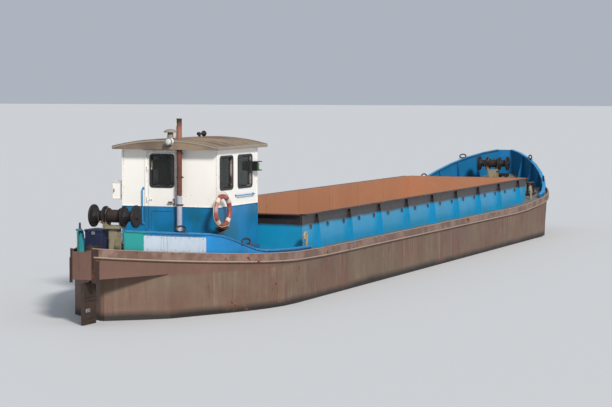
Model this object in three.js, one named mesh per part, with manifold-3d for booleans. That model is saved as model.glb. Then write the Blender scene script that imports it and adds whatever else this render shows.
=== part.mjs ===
// River barge: an open-hold motor barge with a swim stern, a raked bow and a small wheelhouse aft.
// Millimetres. +X runs forward, +Y to port and +Z up, from the middle of the flat bottom.
import * as THREE from 'three';
import { mergeVertices } from 'three/addons/utils/BufferGeometryUtils.js';
import Module from 'manifold-3d';

const wasm = await Module();
wasm.setup();

// Driving dimensions of the hull
const HALF_LENGTH = 15800;
const HALF_BEAM = 2500;
const DECK = 1800; // deck height amidships
const SHEER_START = 8000; // the deck is level between this far aft and this far forward
const SHEER_AFT = 460; // rise of the deck at the stern tip
const SHEER_FORE = 800; // rise of the deck at the stem
const STERN_RUN = 4500; // the stern's taper, before its rounded quarters
const QUARTER = -HALF_LENGTH + 1.25 * STERN_RUN; // where the stern starts to narrow
const SWIM_FORE = -11300; // where the lower hull reaches the full beam
const SHOULDER = 11500; // where the bow starts to narrow
const STERN_TIP_HALF = 220;
const STEM_HALF = 250;
const STERNPOST = -14900; // aft end of the lower hull
const STERNPOST_HALF = 45;
const COUNTER_LOW = 1670; // underside of the deck's overhang aft
const RAKE_START = 12200; // where the bottom starts to rise forward
const RAKE_RISE = 1500;
const GAP = 0.3; // between pieces that touch
const SWING_GAP = 8; // round a door or lid

// Driving dimensions of the hold and its coaming
const HOLD_AFT = -8600;
const HOLD_FORE = 11000;
const HOLD_HALF = 2000;
const HOLD_FLOOR = 250;
const COAMING_TOP = 2650;
const COAMING_PLATE = 30;
const COAMING_FLANGE = 130;

// Driving dimensions of the wheelhouse
const CABIN_AFT = -11600;
const CABIN_FORE = -9350;
const CABIN_HALF = 1190;
const CABIN_FLOOR = 1980;
const CABIN_TOP = 4240;
const WALL = 40;
const SILL = 3360;
const WINDOW_TOP = 4060;
const GLASS = 8;
const DOOR = { low: 2040, high: 4180, starboard: -160, port: 540 };

const BLUE = 0x0d86b8;
const WHITE = 0xe9e6dc;
const HULL = 0x94806a;
const RUST = 0x7a4a30;
const DARK = 0x23262b;
const GREY = 0x8b8d8a;
const CREAM = 0xcfc6a0;

const barge = new THREE.Group();

// A closed three.js geometry as a solid that can be cut and joined.
function solidOf(geometry) {
  const bare = geometry.clone();
  bare.deleteAttribute('normal');
  bare.deleteAttribute('uv');
  const welded = mergeVertices(bare, 1e-3);
  return new wasm.Manifold(new wasm.Mesh({
    numProp: 3,
    vertProperties: new Float32Array(welded.attributes.position.array),
    triVerts: new Uint32Array(welded.index.array),
  }));
}

function geometryOf(solid) {
  const mesh = solid.getMesh();
  const indexed = new THREE.BufferGeometry();
  indexed.setAttribute('position', new THREE.BufferAttribute(mesh.vertProperties, 3));
  indexed.setIndex(new THREE.BufferAttribute(mesh.triVerts, 1));
  const geometry = indexed.toNonIndexed();
  geometry.computeVertexNormals();
  return geometry;
}

function add(name, solid, color, roughness = 0.6, metalness = 0.1) {
  const material = new THREE.MeshStandardMaterial({ color, roughness, metalness });
  const mesh = new THREE.Mesh(geometryOf(solid), material);
  mesh.name = name;
  barge.add(mesh);
}

function box(x0, x1, y0, y1, z0, z1) {
  const geometry = new THREE.BoxGeometry(x1 - x0, y1 - y0, z1 - z0);
  geometry.translate((x0 + x1) / 2, (y0 + y1) / 2, (z0 + z1) / 2);
  return solidOf(geometry);
}

// A round bar about the line through centre, between two places along the axis.
function rod(axis, centre, radius, start, end, sides = 16) {
  const geometry = new THREE.CylinderGeometry(radius, radius, end - start, sides);
  if (axis === 'x') geometry.rotateZ(-Math.PI / 2);
  if (axis === 'z') geometry.rotateX(Math.PI / 2);
  const middle = (start + end) / 2;
  const [a, b] = centre;
  if (axis === 'x') geometry.translate(middle, a, b);
  if (axis === 'y') geometry.translate(a, middle, b);
  if (axis === 'z') geometry.translate(a, b, middle);
  return solidOf(geometry);
}

// Radius of a faceted bore whose flats just clear a turning shaft of the same number of sides
function boreFor(radius, sides = 16) {
  return radius / Math.cos(Math.PI / sides) + 0.1;
}

function ring(axis, centre, radius, tube, around = 28, across = 8) {
  const geometry = new THREE.TorusGeometry(radius, tube, across, around);
  if (axis === 'x') geometry.rotateY(Math.PI / 2);
  if (axis === 'y') geometry.rotateX(Math.PI / 2);
  geometry.translate(...centre);
  return solidOf(geometry);
}

function joined(...solids) {
  return solids.reduce((whole, next) => whole.add(next));
}

function cut(solid, ...tools) {
  return tools.reduce((left, tool) => left.subtract(tool), solid);
}

function mirrored(solid) {
  const geometry = geometryOf(solid);
  geometry.scale(1, -1, 1);
  const position = geometry.attributes.position;
  const flipped = new Float32Array(position.array.length);
  for (let face = 0; face < position.count; face += 3) {
    [0, 2, 1].forEach((from, to) => {
      const source = (face + from) * 3;
      flipped.set(position.array.slice(source, source + 3), (face + to) * 3);
    });
  }
  geometry.setAttribute('position', new THREE.BufferAttribute(flipped, 3));
  return solidOf(geometry);
}

// Joins sections, each a list of [x, y, z] corners in the same order, into one closed solid.
function loft(sections) {
  const corners = sections[0].length;
  const index = [];
  for (let s = 0; s + 1 < sections.length; s += 1) {
    for (let c = 0; c < corners; c += 1) {
      const a = s * corners + c;
      const b = s * corners + ((c + 1) % corners);
      index.push(a, b, b + corners, a, b + corners, a + corners);
    }
  }
  const last = (sections.length - 1) * corners;
  for (let c = 1; c + 1 < corners; c += 1) {
    index.push(0, c + 1, c, last, last + c, last + c + 1);
  }
  const geometry = new THREE.BufferGeometry();
  geometry.setAttribute('position', new THREE.Float32BufferAttribute(sections.flat(2), 3));
  geometry.setIndex(index);
  const solid = solidOf(geometry);
  if (solid.volume() > 0) return solid;
  for (let i = 0; i < index.length; i += 3) {
    [index[i + 1], index[i + 2]] = [index[i + 2], index[i + 1]];
  }
  geometry.setIndex(index);
  return solidOf(geometry);
}

// A four-cornered section across the barge, from one side y0 to the other y1.
function section(x, y0, y1, z0, z1) {
  return [[x, y0, z0], [x, y1, z0], [x, y1, z1], [x, y0, z1]];
}

// Lines of the hull, by distance along the barge
function deckHeight(x) {
  const beyond = Math.max(0, Math.abs(x) - SHEER_START) / (HALF_LENGTH - SHEER_START);
  const rise = x < 0 ? SHEER_AFT : SHEER_FORE;
  return DECK + rise * beyond ** 2;
}

// Half breadth where the plan narrows from the full beam to a blunt end.
function narrowed(fromEnd, run, endHalf, fullness) {
  const left = Math.max(0, 1 - fromEnd / run);
  return endHalf + (HALF_BEAM - endHalf) * (1 - left ** fullness);
}

function deckHalf(x) {
  if (x > QUARTER) return narrowed(HALF_LENGTH - x, HALF_LENGTH - SHOULDER, STEM_HALF, 2);
  const along = (x + HALF_LENGTH) / STERN_RUN;
  const rounding = Math.max(0, along - 0.75) ** 2;
  return STERN_TIP_HALF + (HALF_BEAM - STERN_TIP_HALF) * (along - rounding);
}

function swimHalf(x) {
  return narrowed(x - STERNPOST, SWIM_FORE - STERNPOST, STERNPOST_HALF, 2.05);
}

function bottomHeight(x) {
  return RAKE_RISE * (Math.max(0, x - RAKE_START) / (HALF_LENGTH - RAKE_START)) ** 1.6;
}

// Places along the barge where its lines change direction
function places(from, to, steps) {
  return Array.from({ length: steps + 1 }, (_, i) => from + ((to - from) * i) / steps);
}
const COUNTER_PLACES = [...places(-HALF_LENGTH, QUARTER, 9), HOLD_AFT];
const SWIM_PLACES = [...places(STERNPOST, SWIM_FORE, 7), HOLD_AFT];
const SIDE_PLACES = [HOLD_AFT + GAP, -SHEER_START, SHEER_START, 9500, HOLD_FORE - GAP];
const BOW_PLACES = [HOLD_FORE, ...places(SHOULDER, HALF_LENGTH, 8)];
const ALL_PLACES = [...COUNTER_PLACES, ...SIDE_PLACES.slice(1, 4), ...BOW_PLACES];

// A line of the built hull, which runs straight between the places above
function faceted(line, x) {
  const next = Math.max(1, ALL_PLACES.findIndex((place) => place >= x));
  const [a, b] = [ALL_PLACES[next - 1], ALL_PLACES[next]];
  return THREE.MathUtils.mapLinear(x, a, b, line(a), line(b));
}

// Everything up to the deck, which cuts the foot of what stands on it
const belowDeck = loft(ALL_PLACES.map((x) => section(x, -3000, 3000, -100, deckHeight(x) + GAP)));

function onDeck(solid) {
  return solid.subtract(belowDeck);
}

// Engine room, below the deck between the swim and the hold, with its hatchway
const ENGINE_ROOM = { aft: -13470, fore: -9300, half: 1150, low: 350, high: 1600 };
const ENGINE_HATCH = { aft: -13500, fore: -12700, half: 400, top: 2200 };
const FOREPEAK = { aft: 11500, fore: 13700, half: 1300, low: 560, high: 1600 };
const FOREPEAK_HATCH = { aft: 12590, fore: 13310, half: 360, top: 2400 };
const HATCH_PLATE = 30;

function hollow(room) {
  return box(room.aft, room.fore, -room.half, room.half, room.low, room.high);
}

function hatchway(hatch) {
  const inset = HATCH_PLATE;
  return box(hatch.aft + inset, hatch.fore - inset, -hatch.half + inset, hatch.half - inset, 1500, 2600);
}

// Rudder and propeller, in the gap between the sternpost and the stern tip
const STOCK_X = -15400;
const STOCK_RADIUS = 40;
const BOSS_TOP = 2260;
const SHAFT_Z = 450;
const SHAFT_RADIUS = 40;
const PINTLE_RADIUS = 25;
const SOLE_TOP = 80;

function sternHull() {
  const under = (low) => loft(COUNTER_PLACES.map(
    (x) => section(x, -deckHalf(x), deckHalf(x), low, deckHeight(x)),
  ));
  const swim = loft(SWIM_PLACES.map((x) => section(x, -swimHalf(x), swimHalf(x), 0, DECK - 50)));
  const sole = box(STOCK_X - 150, STERNPOST + 100, -45, 45, 0, SOLE_TOP);
  const boss = rod('z', [STOCK_X, 0], 110, COUNTER_LOW + 50, BOSS_TOP);
  return cut(
    joined(swim.intersect(under(-1)), under(COUNTER_LOW), sole, boss),
    hollow(ENGINE_ROOM),
    hatchway(ENGINE_HATCH),
    rod('z', [STOCK_X, 0], boreFor(STOCK_RADIUS), 1500, 2400),
    rod('z', [STOCK_X, 0], boreFor(PINTLE_RADIUS), 20, 200),
    rod('x', [0, SHAFT_Z], boreFor(SHAFT_RADIUS), STERNPOST - 100, STERNPOST + 600),
  );
}

function bowHull() {
  const rings = BOW_PLACES.map((x) => {
    const top = deckHalf(x);
    const along = Math.max(0, x - SHOULDER) / (HALF_LENGTH - SHOULDER);
    const foot = top * (1 - 0.25 * along);
    const low = bottomHeight(x);
    const high = deckHeight(x);
    return [[x, -foot, low], [x, foot, low], [x, top, high], [x, -top, high]];
  });
  return cut(loft(rings), hollow(FOREPEAK), hatchway(FOREPEAK_HATCH));
}

function sideTank() {
  return loft(SIDE_PLACES.map((x) => section(x, HOLD_HALF, HALF_BEAM, 0, deckHeight(x))));
}

// A bar along the deck's edge: a rubbing strake outside and a low toe rail above it, in three lengths
const STRAKE = { high: 60, low: 140, thick: 50 };

function strake(from, to) {
  const along = [from, ...ALL_PLACES.filter((x) => x > from && x < to), to];
  return loft(along.map((x) => section(
    x,
    deckHalf(x) + 0.4,
    deckHalf(x) + STRAKE.thick,
    deckHeight(x) - STRAKE.low,
    deckHeight(x) + STRAKE.high,
  )));
}

// A fender bar down the counter's corner, under the strake
function fenderPost() {
  const along = [-HALF_LENGTH, -HALF_LENGTH + 110];
  return loft(along.map((x) => section(
    x,
    faceted(deckHalf, x) + 0.4,
    faceted(deckHalf, x) + 70,
    COUNTER_LOW - 60,
    faceted(deckHeight, x) - STRAKE.low + 10,
  )));
}

function sternStrake() {
  return joined(strake(-HALF_LENGTH, QUARTER), fenderPost());
}

function sideStrake() {
  return strake(QUARTER + GAP, SHOULDER - GAP);
}

function bowStrake() {
  return strake(SHOULDER, HALF_LENGTH);
}

const BULWARK_AFT = -14950;
const SWEEP = { from: -12900, to: -11400 };

// Height of the stern bulwark, which sweeps down where the barge reaches its full beam
function sternBulwarkHeight(x) {
  const full = 480;
  const low = 130;
  return THREE.MathUtils.lerp(full, low, THREE.MathUtils.smoothstep(x, SWEEP.from, SWEEP.to));
}

function bulwark(along, inset, height) {
  const plate = 30;
  const rail = { out: 30, in: 60, thick: 25 };
  const wall = loft(along.map((x) => section(
    x,
    deckHalf(x) - inset - plate,
    deckHalf(x) - inset,
    deckHeight(x) - 60,
    deckHeight(x) + height(x),
  )));
  const cap = loft(along.map((x) => section(
    x,
    deckHalf(x) - inset - plate - rail.in,
    deckHalf(x) - inset + rail.out,
    deckHeight(x) + height(x) - rail.thick,
    deckHeight(x) + height(x),
  )));
  return joined(wall, cap);
}

function sternBulwark() {
  const round = COUNTER_PLACES.filter((x) => x > BULWARK_AFT + 200 && x < SWEEP.from);
  const along = [BULWARK_AFT, ...round, ...places(SWEEP.from, SWEEP.to, 5), -10800, QUARTER, -9000];
  return onDeck(bulwark(along, 90, sternBulwarkHeight));
}

function bowBulwarkHeight(x) {
  return 130 + 700 * THREE.MathUtils.smoothstep(x, 11500, 15500);
}

const NOSE_X = HALF_LENGTH - 130;

function bowBulwark() {
  const along = [...BOW_PLACES.slice(1, -1), NOSE_X];
  return onDeck(bulwark(along, 90, bowBulwarkHeight));
}

// The plate across the stem that closes the bulwark
function bowNosePlate() {
  const reach = deckHalf(NOSE_X) - 60;
  const top = deckHeight(NOSE_X) + bowBulwarkHeight(NOSE_X);
  return onDeck(box(NOSE_X + GAP, NOSE_X + 40, -reach, reach, DECK, top));
}

// The hold's side coaming: a plate on the edge of the deck, a flange and stays outside it.
function sideCoaming() {
  const from = HOLD_AFT - COAMING_PLATE;
  const to = HOLD_FORE + COAMING_PLATE;
  const plate = box(from, to, HOLD_HALF, HOLD_HALF + COAMING_PLATE, DECK - 50, COAMING_TOP);
  const flange = box(from, to, HOLD_HALF, HOLD_HALF + COAMING_FLANGE, COAMING_TOP - COAMING_PLATE, COAMING_TOP);
  const stays = places(HOLD_AFT + 900, HOLD_FORE - 900, 8).map((x) => loft([x - 10, x + 10].map((at) => [
    [at, HOLD_HALF + 10, DECK - 50],
    [at, HOLD_HALF + 200, DECK - 50],
    [at, HOLD_HALF + 60, COAMING_TOP - 10],
    [at, HOLD_HALF + 10, COAMING_TOP - 10],
  ])));
  return onDeck(joined(plate, flange, ...stays));
}

// The coaming across one end of the hold; out is -1 aft and 1 forward.
function endCoaming(at, out) {
  const reach = HOLD_HALF - GAP;
  const span = (depth) => [at, at + out * depth].sort((a, b) => a - b);
  const [p0, p1] = span(COAMING_PLATE);
  const [f0, f1] = span(COAMING_FLANGE);
  const plate = box(p0, p1, -reach, reach, DECK - 50, COAMING_TOP);
  const flange = box(f0, f1, -reach, reach, COAMING_TOP - COAMING_PLATE, COAMING_TOP);
  return onDeck(joined(plate, flange));
}

// A raised frame round a hatchway, with a level top
function hatchFrame(hatch) {
  const outer = box(hatch.aft, hatch.fore, -hatch.half, hatch.half, DECK, hatch.top);
  return onDeck(cut(outer, hatchway(hatch)));
}

// A lid that rests on its frame, with two hinge knuckles past the frame's edge.
function hatchLid(hatch) {
  const low = hatch.top + GAP;
  const high = hatch.top + 40;
  const lid = box(hatch.aft - 20, hatch.fore + 20, -hatch.half - 20, hatch.half + 20, low, high);
  const knuckles = [-1, 1].map((side) => rod(
    'y',
    [hatch.fore + 30, hatch.top + 30],
    22,
    side * 220 - 50,
    side * 220 + 50,
    10,
  ));
  return joined(lid, ...knuckles);
}

function engineBlock() {
  const low = ENGINE_ROOM.low + GAP;
  return box(-11900, -10400, -400, 400, low, 1300);
}

// Wheelhouse
function cabinFloor() {
  const aft = CABIN_AFT - WALL;
  const fore = CABIN_FORE + WALL;
  const half = CABIN_HALF + WALL;
  return onDeck(box(aft, fore, -half, half, DECK - 50, CABIN_FLOOR));
}

// Window openings in a side wall, from aft to fore
const SIDE_WINDOWS = [[-11460, -10800], [-10460, -9700]];
const FRONT_WINDOWS = [[-1050, -420], [-310, 310], [420, 1050]];

function sideWall() {
  const wall = box(CABIN_AFT, CABIN_FORE, CABIN_HALF - WALL, CABIN_HALF, CABIN_FLOOR + GAP, CABIN_TOP);
  const windows = SIDE_WINDOWS.map(([aft, fore]) => box(aft, fore, 1000, 1300, SILL, WINDOW_TOP));
  return cut(wall, ...windows);
}

function frontWall() {
  const reach = CABIN_HALF - WALL - GAP;
  const wall = box(CABIN_FORE - WALL, CABIN_FORE, -reach, reach, CABIN_FLOOR + GAP, CABIN_TOP);
  const windows = FRONT_WINDOWS.map(([y0, y1]) => box(-9500, -9200, y0, y1, SILL, WINDOW_TOP));
  return cut(wall, ...windows);
}

function aftWall() {
  const reach = CABIN_HALF - WALL - GAP;
  const wall = box(CABIN_AFT, CABIN_AFT + WALL, -reach, reach, CABIN_FLOOR + GAP, CABIN_TOP);
  return cut(wall, box(-11700, -11500, DOOR.starboard, DOOR.port, DOOR.low, DOOR.high));
}

// The door's hinge line, on knuckles that just clear the wall's outer face
const DOOR_AXIS = { x: CABIN_AFT - 16.5, y: DOOR.port + 8, knuckle: 16 };

const DOOR_HINGES = [2400, 3100, 3800];

function cabinDoor() {
  const y0 = DOOR.starboard + SWING_GAP;
  const y1 = DOOR.port - SWING_GAP;
  const leaf = box(CABIN_AFT, CABIN_AFT + WALL, y0, y1, DOOR.low + SWING_GAP, DOOR.high - SWING_GAP);
  const opening = box(-11700, -11500, DOOR.starboard + 80, DOOR.port - 80, 3410, 4100);
  const knuckles = DOOR_HINGES.map((z) => rod(
    'z',
    [DOOR_AXIS.x, DOOR_AXIS.y],
    DOOR_AXIS.knuckle,
    z - 50,
    z + 50,
    8,
  ));
  const straps = DOOR_HINGES.map((z) => joined(
    box(CABIN_AFT - 12, CABIN_AFT + 5, DOOR.port - 100, DOOR.port - 14, z - 20, z + 20),
    box(CABIN_AFT - 12, CABIN_AFT - 0.5, DOOR.port - 20, DOOR_AXIS.y, z - 20, z + 20),
  ));
  const handle = joined(
    box(CABIN_AFT - 50, CABIN_AFT + 5, -110, -90, 3040, 3060),
    box(CABIN_AFT - 60, CABIN_AFT - 45, -110, 10, 3035, 3065),
  );
  return joined(cut(leaf, opening), ...knuckles, ...straps, handle);
}

const ROOF_CROWN = 230;
const ROOF_AFT = CABIN_AFT - 250;

function cabinRoof() {
  const edge = 70;
  const half = CABIN_HALF + 110;
  const low = CABIN_TOP + GAP;
  const outline = new THREE.Shape();
  outline.moveTo(-half, low);
  outline.lineTo(half, low);
  const steps = 8;
  for (let i = 0; i <= steps; i += 1) {
    const y = half - (2 * half * i) / steps;
    outline.lineTo(y, low + edge + (ROOF_CROWN - edge) * (1 - (y / half) ** 2));
  }
  const length = CABIN_FORE + 300 - ROOF_AFT;
  const geometry = new THREE.ExtrudeGeometry(outline, { depth: length, bevelEnabled: false });
  geometry.rotateX(Math.PI / 2);
  geometry.rotateZ(Math.PI / 2);
  geometry.translate(ROOF_AFT, 0, 0);
  return solidOf(geometry);
}

const EXHAUST = { x: -11720, y: -300, radius: 60, top: 4930 };

function exhaustPipe() {
  const { x, y, radius, top } = EXHAUST;
  const pipe = rod('z', [x, y], radius, DECK, top);
  const bracket = box(x, CABIN_AFT - GAP, y - 20, y + 20, 2980, 3020);
  return onDeck(joined(pipe, bracket));
}

// A stern lamp on a bracket on the roof's aft edge
function roofLamp() {
  const face = ROOF_AFT - GAP;
  const y = -170;
  const z = CABIN_TOP + 180;
  return joined(
    box(face - 40, face, y - 30, y + 30, z - 70, z + 10),
    rod('x', [y, z + 10], 75, face - 150, face - 30, 14),
  );
}

function sidelight() {
  const y0 = CABIN_HALF + GAP;
  const screen = box(-9700, -9420, y0, y0 + 150, 3700, 3920);
  return cut(screen, box(-9640, -9400, y0 + 20, y0 + 200, 3720, 3900));
}

function sidelightLamp() {
  const y0 = CABIN_HALF + 20 + 2 * GAP;
  return rod('z', [-9560, y0 + 60], 50, 3720 + GAP, 3850, 10);
}

function wallLocker() {
  return box(-11520, -11220, CABIN_HALF + GAP, CABIN_HALF + 300, 3080, 3480);
}

// The lifebuoy stands in a cradle at the starboard aft corner, turned a little aft
const BUOY = { x: -11700, y: -CABIN_HALF - 160, z: 2890, radius: 325, tube: 55, turn: 5 };

function lifebuoy() {
  const { x, y, z, radius, tube, turn } = BUOY;
  const geometry = new THREE.TorusGeometry(radius, tube, 8, 28);
  geometry.rotateX(Math.PI / 2);
  geometry.rotateZ(THREE.MathUtils.degToRad(-turn));
  geometry.translate(x, y, z);
  return solidOf(geometry);
}

function lifebuoyCradle() {
  const { x, y, z, radius, tube } = BUOY;
  const bottom = z - radius - tube - GAP;
  const wall = -CABIN_HALF - GAP;
  const shelf = box(x - 60, x + 200, y - 70, wall, bottom - 25, bottom);
  const back = box(CABIN_AFT + 5, x + 200, wall - 20, wall, bottom - 120, bottom - 5);
  return joined(shelf, back);
}

// Glass, each sheet behind the openings of one wall
function sideGlass() {
  const y1 = CABIN_HALF - WALL - GAP;
  return box(-11520, -9640, y1 - GLASS, y1, SILL - 40, WINDOW_TOP + 40);
}

function frontGlass() {
  const x1 = CABIN_FORE - WALL - GAP;
  return box(x1 - GLASS, x1, -1100, 1100, SILL - 40, WINDOW_TOP + 40);
}

function doorGlass() {
  const x0 = CABIN_AFT + WALL + GAP;
  return box(x0, x0 + GLASS, DOOR.starboard + 50, DOOR.port - 50, 3380, 4130);
}

const HELM = { x: -9930, z: 2860, radius: 300, pin: 20 };

function helmConsole() {
  const body = box(-9820, CABIN_FORE - WALL - GAP, -520, 520, CABIN_FLOOR + GAP, 3000);
  return cut(body, rod('x', [0, HELM.z], boreFor(HELM.pin), -9900, -9740));
}

function helmWheel() {
  const { x, z, radius, pin } = HELM;
  const spokes = [0, 1, 2].map((i) => {
    const geometry = new THREE.BoxGeometry(24, 24, 2 * radius + 180);
    geometry.rotateX((i * Math.PI) / 3);
    geometry.translate(x, 0, z);
    return solidOf(geometry);
  });
  return joined(
    ring('x', [x, 0, z], radius, 22, 24, 6),
    rod('x', [0, z], 55, x - 30, x + 30, 12),
    rod('x', [0, z], pin, x, -9760),
    ...spokes,
  );
}

function helmSeat() {
  const low = CABIN_FLOOR + GAP;
  return joined(
    rod('z', [-10550, 0], 160, low, low + 30),
    rod('z', [-10550, 0], 35, low, 2560, 10),
    rod('z', [-10550, 0], 190, 2540, 2620, 20),
  );
}

// Deck gear
function bollards(x, y) {
  const spread = 190;
  const posts = [-1, 1].map((side) => joined(
    rod('z', [x + side * spread, y], 80, DECK, deckHeight(x) + 400, 12),
    rod('z', [x + side * spread, y], 100, deckHeight(x) + 370, deckHeight(x) + 410, 12),
  ));
  const plate = box(x - 320, x + 320, y - 130, y + 130, DECK, deckHeight(x) + 50);
  return onDeck(joined(plate, ...posts));
}

// A winch whose shaft lies across the barge. The frame stands on deck, and the drum turns in it.
const STERN_WINCH = { x: -14300, z: 2900, foot: 200 };
const WINDLASS = { x: 14250, z: 2980, foot: 420 };
const WINCH_PIN = 25;

function winchFrame({ x, z, foot }) {
  const head = z - 200;
  const cheeks = [-180, 150].map((y) => box(x - 110, x + 110, y, y + 30, head - 20, z + 90));
  const bearings = [-180, 150].map((y) => rod('y', [x, z + 40], 110, y, y + 30, 20));
  const plate = box(x - 170, x + 170, -190, 190, head - 60, head);
  const half = Math.min(140, foot / 2);
  const column = box(x - foot / 2, x + foot / 2, -half, half, DECK, head - 30);
  const bore = rod('y', [x, z], boreFor(WINCH_PIN), -300, 300);
  return onDeck(cut(joined(column, plate, ...cheeks, ...bearings), bore));
}

// A box of shackles and spare wire beside the stern winch's foot
function sternLocker() {
  return onDeck(box(-14450, -13950, 240, 640, DECK, 2600));
}

function winchDrum({ x, z }) {
  const drum = rod('y', [x, z], 130, -144, 144, 20);
  const pin = rod('y', [x, z], WINCH_PIN, -560, 560);
  const ends = [-1, 1].map((side) => {
    const across = (from, to) => [side * from, side * to].sort((a, b) => a - b);
    return joined(
      rod('y', [x, z], 210, ...across(200, 235), 20),
      rod('y', [x, z], 110, ...across(200, 500), 16),
      rod('y', [x, z], 240, ...across(480, 520), 20),
    );
  });
  return joined(drum, pin, ...ends);
}

function rudder() {
  const blade = box(-15790, STOCK_X + 170, -25, 25, SOLE_TOP + 20, 1590);
  const pintle = rod('z', [STOCK_X, 0], PINTLE_RADIUS, 30, SOLE_TOP + 40);
  const stock = rod('z', [STOCK_X, 0], STOCK_RADIUS, 1500, BOSS_TOP + 60);
  const hub = rod('z', [STOCK_X, 0], 95, BOSS_TOP + 0.5, BOSS_TOP + 80);
  const tiller = box(STOCK_X, STOCK_X + 400, -35, 35, BOSS_TOP + 15, BOSS_TOP + 70);
  return joined(blade, pintle, stock, hub, tiller);
}

function propeller() {
  const blades = 4;
  const tip = 340;
  const hub = rod('x', [0, SHAFT_Z], 75, STERNPOST - 190, STERNPOST - 0.5);
  const shaft = rod('x', [0, SHAFT_Z], SHAFT_RADIUS, STERNPOST - 100, STERNPOST + 500);
  const set = Array.from({ length: blades }, (_, i) => {
    const outline = new THREE.Shape();
    outline.moveTo(-50, 45);
    outline.lineTo(50, 45);
    outline.lineTo(120, 0.6 * tip);
    outline.lineTo(90, 0.9 * tip);
    outline.lineTo(0, tip);
    outline.lineTo(-90, 0.9 * tip);
    outline.lineTo(-120, 0.6 * tip);
    const geometry = new THREE.ExtrudeGeometry(outline, { depth: 16, bevelEnabled: false });
    geometry.translate(0, 0, -8);
    geometry.rotateY(Math.PI / 3);
    geometry.rotateX(((i + 0.5) * 2 * Math.PI) / blades);
    geometry.translate(STERNPOST - 100, 0, SHAFT_Z);
    return solidOf(geometry);
  });
  return joined(hub, shaft, ...set);
}

// A stockless anchor stowed flat on the foredeck
function bowAnchor() {
  const base = deckHeight(15200);
  const shank = box(14700, 15400, -35, 35, base - 300, base + 90);
  const crown = box(15260, 15400, -230, 230, base - 200, base + 110);
  const flukes = [-1, 1].map((side) => {
    const outline = [[15330, 150], [15330, 250], [14980, 230], [14930, 200]];
    return loft([base - 300, base + 50].map((z) => outline.map(([x, y]) => [x, side * y, z])));
  });
  return onDeck(joined(shank, crown, ...flukes));
}

add('stern_hull', sternHull(), HULL);
add('bow_hull', bowHull(), HULL);
add('port_side_tank', sideTank(), HULL);
add('starboard_side_tank', mirrored(sideTank()), HULL);
add('hold_floor', box(
  HOLD_AFT + GAP,
  HOLD_FORE - GAP,
  -HOLD_HALF + GAP,
  HOLD_HALF - GAP,
  0,
  HOLD_FLOOR,
), RUST);
add('port_stern_strake', sternStrake(), HULL);
add('starboard_stern_strake', mirrored(sternStrake()), HULL);
add('port_side_strake', sideStrake(), HULL);
add('starboard_side_strake', mirrored(sideStrake()), HULL);
add('port_bow_strake', bowStrake(), HULL);
add('starboard_bow_strake', mirrored(bowStrake()), HULL);
add('port_coaming', sideCoaming(), BLUE);
add('starboard_coaming', mirrored(sideCoaming()), BLUE);
add('aft_coaming', endCoaming(HOLD_AFT, -1), BLUE);
add('forward_coaming', endCoaming(HOLD_FORE, 1), BLUE);
add('port_stern_bulwark', sternBulwark(), BLUE);
add('starboard_stern_bulwark', mirrored(sternBulwark()), BLUE);
add('port_bow_bulwark', bowBulwark(), BLUE);
add('starboard_bow_bulwark', mirrored(bowBulwark()), BLUE);
add('bow_nose_plate', bowNosePlate(), BLUE);

add('engine', engineBlock(), GREY);
add('engine_hatch_frame', hatchFrame(ENGINE_HATCH), BLUE);
add('engine_hatch_lid', hatchLid(ENGINE_HATCH), GREY);
add('forepeak_hatch_frame', hatchFrame(FOREPEAK_HATCH), BLUE);
add('forepeak_hatch_lid', hatchLid(FOREPEAK_HATCH), GREY);
add('rudder', rudder(), RUST);
add('propeller', propeller(), RUST, 0.4, 0.7);

add('wheelhouse_floor', cabinFloor(), BLUE);
add('wheelhouse_port_wall', sideWall(), WHITE);
add('wheelhouse_starboard_wall', mirrored(sideWall()), WHITE);
add('wheelhouse_front_wall', frontWall(), WHITE);
add('wheelhouse_aft_wall', aftWall(), WHITE);
add('wheelhouse_door', cabinDoor(), WHITE);
add('wheelhouse_roof', cut(
  cabinRoof(),
  rod('z', [EXHAUST.x, EXHAUST.y], EXHAUST.radius + 15, CABIN_TOP - 100, EXHAUST.top),
), GREY);
add('port_window_glass', sideGlass(), DARK, 0.1, 0);
add('starboard_window_glass', mirrored(sideGlass()), DARK, 0.1, 0);
add('front_window_glass', frontGlass(), DARK, 0.1, 0);
add('door_glass', doorGlass(), DARK, 0.1, 0);
add('helm_console', helmConsole(), GREY);
add('helm_wheel', helmWheel(), RUST);
add('helm_seat', helmSeat(), DARK);
add('exhaust_pipe', exhaustPipe(), RUST);
add('roof_lamp', roofLamp(), WHITE);
add('port_sidelight_screen', sidelight(), DARK);
add('starboard_sidelight_screen', mirrored(sidelight()), DARK);
add('port_sidelight', sidelightLamp(), 0xa81c1c);
add('starboard_sidelight', mirrored(sidelightLamp()), 0x1c8a3a);
add('wall_locker', wallLocker(), WHITE);
add('lifebuoy', lifebuoy(), 0xd2502e);
add('lifebuoy_cradle', lifebuoyCradle(), DARK);

add('stern_winch_frame', winchFrame(STERN_WINCH), CREAM);
add('stern_locker', sternLocker(), BLUE);
add('stern_winch_drum', winchDrum(STERN_WINCH), DARK);
add('windlass_frame', winchFrame(WINDLASS), CREAM);
add('windlass_drum', winchDrum(WINDLASS), DARK);
add('port_stern_bollards', bollards(-12500, 1350), DARK);
add('starboard_stern_bollards', bollards(-12500, -1350), DARK);
add('port_bow_bollards', bollards(12300, 1850), DARK);
add('starboard_bow_bollards', bollards(12300, -1850), DARK);
add('bow_anchor', bowAnchor(), DARK);

export default barge;
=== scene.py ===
# %% [markdown]
# # A steel river barge
# This lesson dresses a small open-hold river barge, seen from its starboard quarter. The steel shapes that
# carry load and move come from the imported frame, in metres, with +X forward, +Y to port and +Z up. They
# could all be modelled again here, but then they would no longer fit the motion, so they keep their shapes
# and get real finishes, and only soft, turned and small things are made new.

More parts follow.
